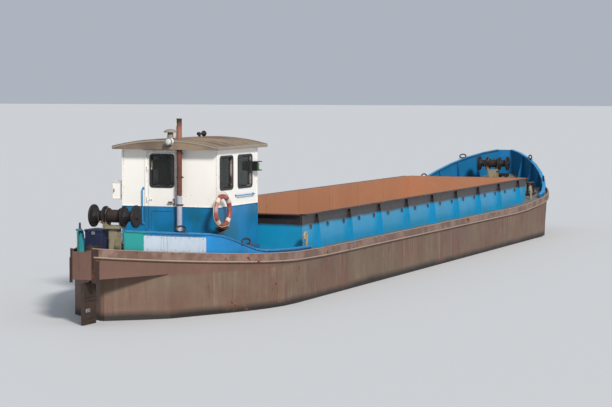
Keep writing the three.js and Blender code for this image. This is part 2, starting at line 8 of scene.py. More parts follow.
# %% The frame and the tools
from math import atan2, copysign, cos, exp, pi, radians, sin, sqrt, tau
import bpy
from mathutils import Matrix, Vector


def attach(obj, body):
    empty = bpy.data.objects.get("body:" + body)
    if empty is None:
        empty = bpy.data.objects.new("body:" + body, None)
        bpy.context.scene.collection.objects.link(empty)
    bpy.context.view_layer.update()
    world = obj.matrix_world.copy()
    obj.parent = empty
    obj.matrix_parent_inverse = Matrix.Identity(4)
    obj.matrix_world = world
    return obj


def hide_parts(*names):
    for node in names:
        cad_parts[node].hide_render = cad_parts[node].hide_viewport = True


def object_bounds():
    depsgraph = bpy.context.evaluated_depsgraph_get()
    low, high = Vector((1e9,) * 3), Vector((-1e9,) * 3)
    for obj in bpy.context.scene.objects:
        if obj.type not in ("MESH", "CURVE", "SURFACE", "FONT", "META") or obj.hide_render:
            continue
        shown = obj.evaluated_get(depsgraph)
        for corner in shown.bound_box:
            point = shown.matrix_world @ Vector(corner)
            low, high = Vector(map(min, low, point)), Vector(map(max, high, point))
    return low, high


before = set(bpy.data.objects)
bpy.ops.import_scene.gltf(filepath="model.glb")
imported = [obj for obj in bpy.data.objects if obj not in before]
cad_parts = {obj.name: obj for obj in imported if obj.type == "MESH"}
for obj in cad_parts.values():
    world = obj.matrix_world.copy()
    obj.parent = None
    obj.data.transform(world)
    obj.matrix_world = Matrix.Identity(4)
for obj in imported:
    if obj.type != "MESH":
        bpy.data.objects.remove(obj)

from types import SimpleNamespace

import bmesh
import bpy
from mathutils import Matrix, Vector

cad_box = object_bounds()
print("frame", len(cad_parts), "nodes", [round(v, 2) for v in (*cad_box[0], *cad_box[1])])

# %% [markdown]
# A handful of sizes drive everything that follows the hull: how the deck rises towards the ends, how wide
# it is at each place, and where the water stands. They repeat the builder's drawing, so a plate or a bolt
# that is placed by them lands on the steel.

# %% Driving sizes
WATERLINE = 0.72
HALF_LENGTH = 15.8
HALF_BEAM = 2.5
DECK = 1.8
LEVEL_HALF = 8.0
SHEER_AFT = 0.46
SHEER_FORE = 0.8
STERN_RUN = 4.5
SHOULDER = 11.5
BULWARK_INSET = 0.09
HOLD = SimpleNamespace(aft=-8.6, fore=11.0, half=2.0, floor=0.25, top=2.65)
CABIN = SimpleNamespace(aft=-11.6, fore=-9.35, half=1.19, floor=1.98, top=4.24)
SILL = 3.36
WINDOW_TOP = 4.06
SIDE_WINDOWS = [(-11.46, -10.8), (-10.46, -9.7)]
FRONT_WINDOWS = [(-1.05, -0.42), (-0.31, 0.31), (0.42, 1.05)]
BELT = 2.95
SIDES = {"port": 1, "starboard": -1}


def deck_height(x):
    """Height of the deck at x."""
    rise = SHEER_FORE if x > 0 else SHEER_AFT
    return DECK + rise * (max(0, abs(x) - LEVEL_HALF) / (HALF_LENGTH - LEVEL_HALF)) ** 2


def deck_half(x):
    """Half the deck's width at x."""
    if x > SHOULDER:
        t = (HALF_LENGTH - x) / (HALF_LENGTH - SHOULDER)
        return 0.25 + 2.25 * (1 - (1 - t) ** 2)
    a = (x + HALF_LENGTH) / STERN_RUN
    if a > 1.25:
        return HALF_BEAM
    return 0.22 + 2.28 * (a - max(0, a - 0.75) ** 2)


def smoothstep(x, low, high):
    """Rises from 0 at low to 1 at high, with level ends."""
    t = min(1, max(0, (x - low) / (high - low)))
    return t * t * (3 - 2 * t)


def bulwark_height(x):
    """Height of the bulwark's rail over the deck at x."""
    if x > 0:
        return 0.13 + 0.7 * smoothstep(x, 11.5, 15.5)
    return 0.48 - 0.35 * smoothstep(x, -12.9, -11.4)


print("deck", [round(deck_height(x), 2) for x in (-15.8, 0, 15.8)])

# %% [markdown]
# The picture was taken from a bridge or quay well behind the barge, about five metres over the water, with
# a long view along the starboard side. The camera stands at that same place, so the perspective of the
# hull matches, and a long lens brings the barge up to fill the frame.

# %% Camera
CAMERA_PLACE = Vector((-52.4, -19.5, 5.7))
AIM = Vector((0.0, 1.3, 2.35))
LENS_MM = 118

camera = bpy.data.objects.new("camera", bpy.data.cameras.new("camera"))
bpy.context.collection.objects.link(camera)
camera.location = CAMERA_PLACE
camera.rotation_mode = "QUATERNION"
camera.rotation_quaternion = (AIM - CAMERA_PLACE).to_track_quat("-Z", "Y")
camera.data.lens = LENS_MM
camera.data.clip_end = 900
bpy.context.scene.camera = camera
print("camera", round((AIM - CAMERA_PLACE).length, 1), "m from its aim, lens", LENS_MM, "mm")

# %% [markdown]
# The light is a studio's: a pale, even dome and one large soft key. The key comes from the starboard
# quarter and high, where it lights both the wheelhouse's back and its side and throws the overhang of the
# stern into shadow. A sun lamp with a wide angle is used, because an area lamp would fade along 30 metres.
# The plain view transform keeps strong paint colours strong.

# %% Light and colour
KEY_DIRECTION = Vector((0.62, 0.6, -0.56))
KEY_STRENGTH = 3.6
KEY_SOFTNESS = radians(9)
DOME_COLOUR = (0.8, 0.88, 1.0, 1)
DOME_STRENGTH = 0.52

world = bpy.data.worlds.new("pale dome")
world.use_nodes = True
dome = world.node_tree.nodes["Background"]
dome.inputs["Color"].default_value = DOME_COLOUR
dome.inputs["Strength"].default_value = DOME_STRENGTH
bpy.context.scene.world = world

key = bpy.data.objects.new("key", bpy.data.lights.new("key", "SUN"))
bpy.context.collection.objects.link(key)
key.rotation_mode = "QUATERNION"
key.rotation_quaternion = KEY_DIRECTION.to_track_quat("-Z", "Y")
key.data.energy = KEY_STRENGTH
key.data.angle = KEY_SOFTNESS
key.data.color = (1.0, 0.955, 0.89)
bpy.context.scene.view_settings.view_transform = "Standard"
print("key", KEY_STRENGTH, "dome", DOME_STRENGTH)

# %% [markdown]
# Every finish is a tree of shader nodes. Written out call by call a tree is long and hard to read, so a
# small helper adds the nodes and links them. What comes out of a node is a field, and arithmetic on it
# adds math nodes: a comparison is a mask, and a product of masks is where all of them are. Paints are named
# by the hex code that they have on a screen, and turned into the linear colours that the shaders work with.

# %% Helper for shader nodes
def rgb(hex_code):
    """The linear colour of a hex code."""
    values = [int(hex_code[i:i + 2], 16) / 255 for i in (0, 2, 4)]
    return (*((v / 12.92 if v <= 0.04045 else ((v + 0.055) / 1.055) ** 2.4) for v in values), 1)


def operation(name, swapped=False):
    """A method that adds a math node for a field and another value."""
    def method(self, other=0.0):
        a, b = (other, self) if swapped else (self, other)
        return self.nodes.math(name, a, b)
    return method


class Field:
    """What comes out of a socket. Arithmetic on it adds math nodes."""

    def __init__(self, nodes, socket):
        self.nodes = nodes
        self.socket = socket

    __add__ = operation("ADD")
    __radd__ = operation("ADD", swapped=True)
    __sub__ = operation("SUBTRACT")
    __rsub__ = operation("SUBTRACT", swapped=True)
    __mul__ = operation("MULTIPLY")
    __truediv__ = operation("DIVIDE")
    __rtruediv__ = operation("DIVIDE", swapped=True)
    __gt__ = operation("GREATER_THAN")
    __lt__ = operation("LESS_THAN")
    __abs__ = operation("ABSOLUTE")


class Outputs(list):
    """A node's outputs, by number or by name."""

    def __getitem__(self, key):
        if isinstance(key, str):
            return next(field for field in self if field.socket.name == key)
        return super().__getitem__(key)


class Nodes:
    """Adds nodes to one tree. A field given for an input is linked to it, and anything else is set on it."""

    def __init__(self, tree):
        self.tree = tree
        self.shader = tree.nodes.get("Principled BSDF")

    def outputs(self, node):
        return Outputs(Field(self, socket) for socket in node.outputs)

    def add(self, kind, inputs, **settings):
        node = self.tree.nodes.new("ShaderNode" + kind)
        for name, value in settings.items():
            setattr(node, name, value)
        self.feed(node, inputs)
        return self.outputs(node)

    def feed(self, node, inputs):
        for name, value in inputs.items():
            if isinstance(value, Field):
                self.tree.links.new(value.socket, node.inputs[name])
            else:
                node.inputs[name].default_value = value

    def math(self, operation, a, b=0.0):
        return self.add("Math", {0: a, 1: b}, operation=operation)[0]

    def spread(self, value, low, high, to_low=0.0, to_high=1.0):
        inputs = {"Value": value, "From Min": low, "From Max": high, "To Min": to_low, "To Max": to_high}
        return self.add("MapRange", inputs)[0]

    def blend(self, factor, a, b, mode="MIX"):
        return self.add("Mix", {0: factor, 6: a, 7: b}, data_type="RGBA", blend_type=mode)[2]

    def coats(self, colour, *coats):
        """Lays coats over a colour. Each is a mask and the colour that shows there."""
        for mask, coat in coats:
            colour = self.blend(mask, colour, coat)
        return colour

    def between(self, factor, a, b):
        return self.add("Mix", {0: factor, 2: a, 3: b}, data_type="FLOAT")[0]

    def scaled(self, vector, x, y, z):
        factors = self.add("CombineXYZ", {0: x, 1: y, 2: z})[0]
        return self.add("VectorMath", {0: vector, 1: factors}, operation="MULTIPLY")[0]

    def noise(self, vector, scale, detail=2.0, roughness=0.55):
        inputs = {"Vector": vector, "Scale": scale, "Detail": detail, "Roughness": roughness}
        return self.add("TexNoise", inputs)[0]

    def split(self, vector):
        return self.add("SeparateXYZ", {0: vector})

    def bump(self, height, distance, normal=None):
        inputs = {"Height": height, "Distance": distance}
        if normal is not None:
            inputs["Normal"] = normal
        return self.add("Bump", inputs)[0]

    def effect(self, group, inputs):
        return self.add("Group", inputs, node_tree=group)

    def surface(self, colour, rough, normal, **others):
        """Feeds the shader. In names, underscores stand for spaces."""
        named = {name.replace("_", " "): value for name, value in others.items()}
        self.feed(self.shader, {"Base Color": colour, "Roughness": rough, "Normal": normal, **named})


def new_effect(name, inputs, outputs):
    """An empty node group with named sockets: a Nodes to fill it, its inputs and its output sockets."""
    tree = bpy.data.node_groups.new(name, "ShaderNodeTree")
    for title, value in inputs.items():
        kind = "Float" if isinstance(value, float) else "Vector"
        socket = tree.interface.new_socket(name=title, in_out="INPUT", socket_type="NodeSocket" + kind)
        socket.default_value = value
    for title, kind in outputs.items():
        tree.interface.new_socket(name=title, in_out="OUTPUT", socket_type="NodeSocket" + kind)
    nodes = Nodes(tree)
    given = nodes.outputs(tree.nodes.new("NodeGroupInput"))
    leave = tree.nodes.new("NodeGroupOutput")
    print("effect", name, "gives", ", ".join(outputs))
    return nodes, given, leave.inputs


def give(nodes, leave, **values):
    """Links each result of an effect to its output socket. Underscores stand for spaces."""
    for title, value in values.items():
        nodes.tree.links.new(value.socket, leave[title.replace("_", " ")])


ORIGIN = (0.0, 0.0, 0.0)
print("mid grey is", round(rgb("808080")[0], 3), "of white in linear light")

# %% [markdown]
# Old paint on steel fails in a few ways, and each way is one effect that many finishes share. The first is
# uneven colour: sun and touch-ups leave clouds of lighter and darker paint. Two sizes of noise, one in
# metres and one in hand's breadths, give it. A painted texture would need an image, and noise doesn't.

# %% Effect: uneven colour
nodes, given, leave = new_effect(
    "Uneven colour", {"Place": ORIGIN, "Size": 1.0, "Depth": 0.2}, {"Shade": "Float", "Patch": "Float"},
)
scale = 1.0 / given["Size"]
broad = nodes.noise(given["Place"], scale, 3.0)
close = nodes.noise(given["Place"], scale * 7.3, 4.0)
mixed = nodes.between(0.35, broad, close)
swing = (mixed - 0.5) * given["Depth"]
give(nodes, leave, Shade=swing * 2.6 + 1.0, Patch=nodes.spread(broad, 0.5, 0.62))
CLOUDS = nodes.tree

# %% [markdown]
# Rain washes dirt and rust straight down a side, so runs are noise that is squeezed along the deck and
# drawn out in height. Width and Length are the size of one run, in metres, and Amount says how many show.

# %% Effect: rain runs
nodes, given, leave = new_effect("Rain runs", {
    "Place": ORIGIN, "Width": 0.05, "Length": 1.2, "Amount": 0.5,
}, {"Mask": "Float"})
across = 1.0 / given["Width"]
down = 1.0 / given["Length"]
drawn = nodes.scaled(given["Place"], across, across, down)
streaks = nodes.noise(drawn, 1.0, 3.0, 0.6)
gaps = nodes.noise(given["Place"], 0.9)
low = 0.78 - given["Amount"] * 0.36
mask = nodes.spread(streaks, low, low + 0.16)
give(nodes, leave, Mask=mask * nodes.spread(gaps, 0.36, 0.6))
RUNS = nodes.tree

# %% [markdown]
# Paint chips off where things knock it: on edges first, then in scattered spots. A Bevel node rounds the
# shading normal over a small radius, and where that differs from the face's own normal there is an edge.
# The same rounded normal also softens the sharp edges of the plain steel shapes.

# %% Effect: worn edges and chips
nodes, given, leave = new_effect(
    "Worn paint", {"Place": ORIGIN, "Edge": 0.012, "Spots": 12.0, "Amount": 0.3},
    {"Mask": "Float", "Rim": "Float", "Normal": "Vector"},
)
softened = nodes.add("Bevel", {"Radius": given["Edge"]}, samples=4)[0]
flat = nodes.add("NewGeometry", {})["True Normal"]
along = nodes.add("VectorMath", {0: softened, 1: flat}, operation="DOT_PRODUCT")["Value"]
edge = nodes.spread(along, 0.995, 0.86)
speckle = nodes.noise(given["Place"], given["Spots"], 9.0, 0.66)
field = nodes.noise(given["Place"], 1.1)
lifted = speckle + (field - 0.5) * 0.45 + edge * 0.22
low = 0.8 - given["Amount"] * 0.26
mask = nodes.spread(lifted, low, low + 0.018)
rim = nodes.spread(lifted, low - 0.035, low)
give(nodes, leave, Mask=mask, Rim=rim, Normal=softened)
WEAR = nodes.tree

# %% [markdown]
# Dirt settles on what faces up. Both masks come from a face's own direction, and the dirt is broken up by
# noise so that no line is ruled.

# %% Effect: settled dirt
nodes, given, leave = new_effect(
    "Settled dirt", {"Place": ORIGIN, "Facing": ORIGIN, "Amount": 0.5}, {"Mask": "Float", "Up": "Float"},
)
up = nodes.spread(nodes.split(given["Facing"])[2], 0.35, 0.85)
cloud = nodes.noise(given["Place"], 1.7, 6.0, 0.62)
low = 0.75 - given["Amount"] * 0.5
mask = nodes.spread(cloud, low, low + 0.3)
give(nodes, leave, Mask=mask * up, Up=up)
DIRT = nodes.tree

# %% [markdown]
# Plating is never flat. Between its frames it is dished a little by the welds, and each plate's end shows
# as a seam with a bead. Height is in parts of one, for a Bump node that says how deep it is in metres.

# %% Effect: plating
nodes, given, leave = new_effect(
    "Plating", {"Place": ORIGIN, "Frames": 0.6, "Plate": 2.4}, {"Height": "Float"},
)
x = nodes.split(given["Place"])[0]
wave = nodes.math("COSINE", x * tau / given["Frames"])
uneven = nodes.noise(given["Place"], 0.8)
dished = wave * nodes.spread(uneven, 0.3, 0.7)
cell = nodes.math("FRACT", x / given["Plate"])
away = abs(cell - 0.5) * given["Plate"]
seam = nodes.spread(away, 0.022, 0.006)
height = dished * 0.5 + seam * 0.7
give(nodes, leave, Height=height)
PLATING = nodes.tree

# %% [markdown]
# One function lays these effects over any ground colour, as a painter's coats and the weather do in turn:
# uneven colour, runs of dirt, dirt on top, then chips that show dark rust with an orange rim. The ground
# may be one colour or a function that chooses a colour by place, for a wall that is white above and blue
# below. Chips are rougher and lower than the paint round them, so colour, gloss and relief agree.

# %% Painted steel
RUST_DARK = rgb("4b2a1c")
RUST_ORANGE = rgb("a5623a")
GRIME = rgb("4a4238")
DUST = rgb("8d8070")


def new_finish(name):
    """A material with its Nodes, and the place and direction of each point on it."""
    material = bpy.data.materials.new(name)
    material.use_nodes = True
    nodes = Nodes(material.node_tree)
    point = nodes.add("TexCoord", {})
    print("finish", name)
    return material, nodes, point["Object"], point["Normal"]


def painted(
    name, ground, gloss=0.45, clouds=0.1, cloud_size=1.2, runs=0.35, run_size=(0.05, 1.2), run_colour=GRIME,
    dirt=0.35, chips=0.35, edge=0.012, spots=12.0, plating=None, grain=0.0006, under=RUST_DARK,
):
    """Painted steel under weather. ground is a colour, or a function of nodes, place and facing."""
    material, nodes, place, facing = new_finish(name)
    colour = ground(nodes, place, facing) if callable(ground) else ground
    cloud = nodes.effect(CLOUDS, {"Place": place, "Size": cloud_size, "Depth": clouds})
    shade = nodes.add("CombineXYZ", {0: cloud["Shade"], 1: cloud["Shade"], 2: cloud["Shade"]})[0]
    colour = nodes.blend(1.0, colour, shade, "MULTIPLY")
    width, length = run_size
    run = nodes.effect(RUNS, {"Place": place, "Width": width, "Length": length, "Amount": runs})["Mask"]
    settled = nodes.effect(DIRT, {"Place": place, "Facing": facing, "Amount": dirt})
    upright = 1.0 - settled["Up"]
    worn = nodes.effect(WEAR, {"Place": place, "Edge": edge, "Spots": spots, "Amount": chips})
    colour = nodes.coats(
        colour, (run * upright * 0.55, run_colour), (settled["Mask"] * 0.6, DUST),
        (worn["Rim"] * 0.45, RUST_ORANGE), (worn["Mask"], under),
    )
    rough = nodes.between(worn["Mask"], gloss + settled["Mask"] * 0.25 + run * 0.12, 0.88)
    fine = nodes.noise(place, 55.0, 3.0)
    relief = nodes.bump(fine, grain, worn["Normal"])
    relief = nodes.bump(1.0 - worn["Mask"], 0.0012, relief)
    if plating:
        frames, plate, depth = plating
        sheet = nodes.effect(PLATING, {"Place": place, "Frames": frames, "Plate": plate})
        relief = nodes.bump(sheet["Height"], depth, relief)
    nodes.surface(colour, rough, relief)
    return material


def pair(*names):
    """The port and the starboard node of each name."""
    return [f"{side}_{name}" for name in names for side in SIDES]


def dress(material, *names):
    """Gives CAD nodes a finish."""
    for name in names:
        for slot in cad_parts[name].material_slots:
            slot.material = material

# %% [markdown]
# The hull wears several colours at once, so its ground is chosen by place. The sides are a faded red-brown
# that has gone to tan with dried mud, pinker and darker on the band under the deck. The deck is grey. The
# hold's walls are bare steel, polished and rusted orange by its loads. A dark wet line marks the water,
# and below it lies old bottom paint.

# %% Hull finish
HULL_TAN = rgb("6b5948")
HULL_PINK = rgb("64493d")
BAND_BROWN = rgb("684c41")
DECK_GREY = rgb("6f6d68")
HOLD_ORANGE = rgb("b17d5f")
WET_LINE = rgb("1d1713")
BOTTOM_PAINT = rgb("4a211b")
SKIN = 0.012


def inside_hold(nodes, place):
    """1 on the faces that look into the hold, to a skin's depth behind them."""
    x, y = nodes.split(place)[:2]
    within = abs(y) < HOLD.half + SKIN
    return within * (x > HOLD.aft - SKIN) * (x < HOLD.fore + SKIN)


def hull_ground(nodes, place, facing):
    x, _, z = nodes.split(place)
    face_z = nodes.split(facing)[2]
    broad = nodes.noise(place, 0.55, 5.0, 0.6)
    side = nodes.blend(nodes.spread(broad, 0.42, 0.62), HULL_TAN, HULL_PINK)
    washed = nodes.effect(RUNS, {"Place": place, "Width": 0.11, "Length": 2.2, "Amount": 0.75})["Mask"]
    by_stern = nodes.spread(x, -12.4, -14.0) * nodes.spread(z, 1.45, 1.05) * 0.75
    stained = nodes.effect(RUNS, {"Place": place, "Width": 0.07, "Length": 0.9, "Amount": 0.45})["Mask"]
    band = nodes.spread(z, 1.6, 1.66)
    wet = nodes.spread(z + (broad - 0.5) * 0.16, 0.92, 0.78)
    bottom = nodes.spread(z, 0.66, 0.6)
    # Faces that look down under the stern's counter are painted dark rust, which is also painted shade under
    # the overhang.
    under_counter_rust_and_shade = (face_z < -0.5) * (z > 1.2) * (x < 0.0)
    hold = nodes.blend(nodes.spread(broad, 0.4, 0.6), HOLD_ORANGE, rgb("86593f"))
    on_deck = (face_z > 0.6) * (z > 1.5)
    return nodes.coats(
        side, (washed * 0.5, rgb("8d7a66")), (by_stern, HULL_PINK), (stained * 0.75, rgb("3f2a20")),
        (band, BAND_BROWN), (wet, WET_LINE), (bottom, BOTTOM_PAINT), (under_counter_rust_and_shade, RUST_DARK),
        (inside_hold(nodes, place), hold), (on_deck, DECK_GREY),
    )


HULL = painted(
    "hull steel", hull_ground, gloss=0.62, clouds=0.34, cloud_size=1.6, runs=0.55, run_size=(0.06, 0.8),
    run_colour=rgb("3a2a20"), dirt=0.5, chips=0.42, spots=9.0, plating=(0.61, 3.66, 0.007), grain=0.001,
)
dress(HULL, "stern_hull", "bow_hull", *pair("side_tank"))

# %% [markdown]
# The rubbing strakes take every knock, so their brown paint is half gone, with rust between and a paler
# worn top. The posts at the stern's corners are near-black brown.

# %% Strakes
CORNER_POST = -15.685


def strake_ground(nodes, place, facing):
    x = nodes.split(place)[0]
    face_z = nodes.split(facing)[2]
    patchy = nodes.noise(place, 2.1, 5.0, 0.65)
    side = nodes.blend(nodes.spread(patchy, 0.42, 0.58), rgb("664e44"), rgb("82685d"))
    side = nodes.blend(x < CORNER_POST, side, rgb("2f1a13"))
    return nodes.blend(nodes.spread(face_z, 0.5, 0.8), side, rgb("978676"))


STRAKE = painted(
    "strake steel", strake_ground, gloss=0.6, clouds=0.2, runs=0.6, run_size=(0.04, 0.3), chips=0.62,
    spots=7.0, edge=0.02, dirt=0.3, grain=0.0015,
)
dress(STRAKE, *pair("stern_strake", "side_strake", "bow_strake"))

# %% [markdown]
# Bare steel is rust in three tones, with scratches along the barge where things have slid. The hold's floor
# is the plainest case. The winches' gear is nearly black with grease, and the rudder is dark from the wet.

# %% Rusted steel
def rusted(name, tones, scratches=0.0, rough=0.82, relief_depth=0.003, scale=1.5, under=None):
    """Rusted steel in three tones. under is a paint on what faces down."""
    material, nodes, place, facing = new_finish(name)
    broad = nodes.noise(place, scale, 6.0, 0.62)
    close = nodes.noise(place, scale * 11, 6.0, 0.7)
    colour = nodes.blend(nodes.spread(broad, 0.4, 0.62), rgb(tones[0]), rgb(tones[1]))
    colour = nodes.blend(nodes.spread(close, 0.5, 0.68), colour, rgb(tones[2]))
    drawn = nodes.scaled(place, 0.7, 42.0, 42.0)
    lines = nodes.spread(nodes.noise(drawn, 1.0, 4.0, 0.7), 0.6, 0.7)
    polished = lines * scratches
    colour = nodes.blend(polished, colour, rgb("b39a84"))
    if under:
        colour = nodes.blend(nodes.split(facing)[2] < -0.5, colour, under)
    worn = nodes.effect(WEAR, {"Place": place, "Edge": 0.012, "Spots": 16.0, "Amount": 0.25})
    roughness = nodes.between(polished, rough, 0.42)
    relief = nodes.bump(close, relief_depth, worn["Normal"])
    relief = nodes.bump(nodes.noise(place, 90.0, 3.0), relief_depth * 0.3, relief)
    metal = polished * 0.7
    nodes.surface(colour, roughness, relief, Metallic=metal)
    return material


HOLD_PLATE = rusted("hold plate", ("a0663e", "70432c", "b98456"), scratches=0.6, under=BOTTOM_PAINT)
RUSTY = rusted("rusty steel", ("5a3a2c", "3b261e", "7d4d33"), scratches=0.15, scale=4.0)
DARK_GEAR = rusted("greasy gear", ("14151b", "1c171b", "2e221c"), scratches=0.14, rough=0.65, scale=6.0)
GREASY_WIRE = rusted("greasy wire", ("30251f", "1f1a1a", "47362b"), scratches=0.1, scale=8.0)
WET_RUST = rusted("wet rust", ("38291f", "241b18", "4f3629"), scratches=0.1, rough=0.7, scale=4.0)
dress(HOLD_PLATE, "hold_floor")
dress(RUSTY, "lifebuoy_cradle")
dress(WET_RUST, "rudder")
dress(DARK_GEAR, "stern_winch_drum", "windlass_drum", "bow_anchor")

# %% [markdown]
# The owner's blue is bright where it was laid last and has gone green at the stern's ends. The bulwarks
# carry it outside, with darker navy inside. The coamings carry it up to the rail in a lighter blue, which
# is painted sunlight on their sides. Under the rail they wear a near-black band, painted shade with grease
# in it, the grab has worn their top brown, and inside the hold they are as rusty as the rest. One ground
# function serves both, because it reads only the place and the direction of each point.

# %% Blue paint
BLUE = rgb("117dbd")
BLUE_TEAL = rgb("1c8884")
BLUE_DEEP = rgb("0f6290")
NAVY = rgb("2a3558")
# Near-black for the band under the coamings' rail: painted shade, with grease in it.
RAIL_SHADE_AND_GRIME = rgb("2a2423")


def blue_ground(nodes, place, facing):
    x, y, z = nodes.split(place)
    face_y, face_z = nodes.split(facing)[1:]
    tone = nodes.noise(place, 0.8, 4.0)
    colour = nodes.blend(nodes.spread(tone, 0.38, 0.64), BLUE, BLUE_DEEP)
    greened = nodes.spread(x + tone * 0.8, -13.9, -14.1)
    inward = nodes.math("SIGN", y) * face_y < -0.5
    on_coaming = (x > -8.85) * (x < 11.25)
    under_rail_shade_and_grime = nodes.spread(z + tone * 0.1, 2.38, 2.46)
    return nodes.coats(
        colour, (greened, BLUE_TEAL), (inward * (x < -8.7), NAVY), (inward * (x > 11.05), BLUE_DEEP),
        # On the coamings the lighter blue is painted sunlight on their sides, and the band under the rail is
        # painted shade with grease.
        (on_coaming * 0.6, rgb("1596bf")), (on_coaming * under_rail_shade_and_grime, RAIL_SHADE_AND_GRIME),
        (on_coaming * (face_z > 0.6) * (z > 2.6), rgb("5f4537")), (inside_hold(nodes, place), HOLD_ORANGE),
    )


BLUE_STEEL = painted(
    "blue paint", blue_ground, gloss=0.38, clouds=0.16, runs=0.42, run_size=(0.045, 0.5),
    run_colour=rgb("3f4a50"), chips=0.36, spots=14.0, dirt=0.3, plating=(0.55, 4.4, 0.003),
)
dress(
    BLUE_STEEL, *pair("coaming", "stern_bulwark", "bow_bulwark"), "aft_coaming", "forward_coaming",
    "bow_nose_plate", "engine_hatch_frame", "forepeak_hatch_frame",
)

# %% [markdown]
# The wheelhouse is white above its belt and blue below, and cream inside. The walls are 35 millimetres
# thick, so the place of a point tells which side of the wall it is on.

# %% Wheelhouse paint
WHITE = rgb("efece6")
CREAM = rgb("cfc3a4")


def wall_ground(nodes, place, facing):
    x, y, z = nodes.split(place)
    half = abs(y)
    tone = nodes.noise(place, 1.3, 4.0)
    low = nodes.blend(nodes.spread(tone, 0.4, 0.64), rgb("0f77ae"), rgb("0a6384"))
    colour = nodes.blend(z > BELT, low, WHITE)
    inner = (half < 1.155) * (x > -11.563) * (x < -9.387)
    return nodes.blend(inner, colour, CREAM)


WALL = painted(
    "wheelhouse paint", wall_ground, gloss=0.36, clouds=0.06, runs=0.3, run_size=(0.03, 0.55),
    run_colour=rgb("8b7f6c"), chips=0.2, spots=18.0, dirt=0.25, edge=0.01,
)
dress(
    WALL, "wheelhouse_port_wall", "wheelhouse_starboard_wall", "wheelhouse_front_wall",
    "wheelhouse_aft_wall", "wheelhouse_door", "wall_locker",
)

# %% [markdown]
# The roof's top has weathered, its edge is a paler grey, and its underside is the cabin's cream ceiling. The
# cabin's base is blue outside, with worn boards on top.

# %% Roof and cabin floor
EAVE_GREY = rgb("8f8578")


def roof_ground(nodes, place, facing):
    y, z = nodes.split(place)[1:]
    face_z = nodes.split(facing)[2]
    tone = nodes.noise(place, 1.1, 6.0, 0.6)
    colour = nodes.blend(nodes.spread(tone, 0.4, 0.62), rgb("8f7b66"), rgb("6b5c50"))
    side = (abs(y) > 1.295) * (z < 4.32)
    colour = nodes.blend(side, colour, EAVE_GREY)
    return nodes.blend(face_z < -0.5, colour, CREAM)


ROOF_PAINT = painted(
    "roof paint", roof_ground, gloss=0.6, clouds=0.22, cloud_size=0.7, runs=0.3, dirt=0.6, chips=0.3,
    spots=10.0, grain=0.0012,
)
dress(ROOF_PAINT, "wheelhouse_roof")


def floor_ground(nodes, place, facing):
    face_z = nodes.split(facing)[2]
    return nodes.blend(face_z > 0.5, BLUE_DEEP, rgb("6c5140"))


CABIN_BASE = painted("wheelhouse base", floor_ground, gloss=0.5, runs=0.4, chips=0.35, dirt=0.5)
dress(CABIN_BASE, "wheelhouse_floor")

# %% [markdown]
# Plain paints come next: deck grey on the lids, cream on the winch stands, black on the bollards and the
# light screens, engine grey and a grey-green for the console.

# %% Plain paints
GREY_PAINT = painted("grey paint", rgb("8c8c88"), gloss=0.5, chips=0.42, dirt=0.5, runs=0.4)
ENGINE_PAINT = painted("engine paint", rgb("5f6f66"), gloss=0.35, chips=0.25, dirt=0.5, runs=0.6)
CREAM_PAINT = painted("cream paint", rgb("8f866f"), gloss=0.45, chips=0.42, dirt=0.35, runs=0.65)
BLACK_PAINT = painted("black paint", rgb("1f2126"), gloss=0.42, chips=0.4, dirt=0.3, runs=0.3, edge=0.018)
WHITE_PAINT = painted("white paint", WHITE, gloss=0.36, clouds=0.07, chips=0.26, dirt=0.2, runs=0.3)
EAVE_PAINT = painted("eave paint", EAVE_GREY, gloss=0.5, clouds=0.2, chips=0.42, dirt=0.4, runs=0.4)
NAVY_PAINT = painted("navy paint", rgb("232b49"), gloss=0.45, clouds=0.2, chips=0.4, dirt=0.35, runs=0.5)
LIGHT_BLUE = painted("rail blue", rgb("1b86bd"), gloss=0.4, chips=0.45, dirt=0.25, runs=0.2)
dress(GREY_PAINT, "engine_hatch_lid", "forepeak_hatch_lid")
dress(ENGINE_PAINT, "engine")
dress(CREAM_PAINT, "stern_winch_frame", "windlass_frame")
dress(BLACK_PAINT, *pair("stern_bollards", "bow_bollards", "sidelight_screen"))
dress(WHITE_PAINT, "roof_lamp")

# %% [markdown]
# The finishes that aren't paint are few. Window glass is a sheet with a film of dust, tinted near-black and
# more than half opaque: that tint is painted shade for the dim cabin, which still shows faintly through it.
# It lets light pass by its Alpha, because a small window gives no lens effects worth their noise. Lamps have
# coloured plastic lenses, and the lifebuoy is sun-bleached plastic.

# %% Glass, plastic and bronze
def plastic(name, colour, gloss=0.4, faded=0.12):
    """Moulded plastic, chalky in patches where the sun has bleached it."""
    material, nodes, place, _ = new_finish(name)
    cloud = nodes.effect(CLOUDS, {"Place": place, "Size": 0.35, "Depth": faded})
    pale = nodes.blend(cloud["Patch"] * 0.35, colour, rgb("d9cdc4"))
    soiled = nodes.effect(RUNS, {"Place": place, "Width": 0.02, "Length": 0.15, "Amount": 0.5})["Mask"]
    pale = nodes.blend(soiled * 0.4, pale, GRIME)
    rough = gloss + cloud["Patch"] * 0.2
    relief = nodes.bump(nodes.noise(place, 120.0, 3.0), 0.0004)
    nodes.surface(pale, rough, relief)
    return material


def lens(name, colour):
    """A coloured lamp lens, glossy under a clear coat, with fine ribs and a film of grime."""
    material, nodes, place, _ = new_finish(name)
    z = nodes.split(place)[2]
    ribs = nodes.math("SINE", z * 620.0)
    grime = nodes.spread(nodes.noise(place, 40.0, 4.0), 0.45, 0.75)
    tint = nodes.blend(grime * 0.4, colour, GRIME)
    relief = nodes.bump(ribs, 0.0015)
    nodes.surface(tint, 0.12 + grime, relief, Coat_Weight=0.6, Coat_Roughness=0.08)
    return material


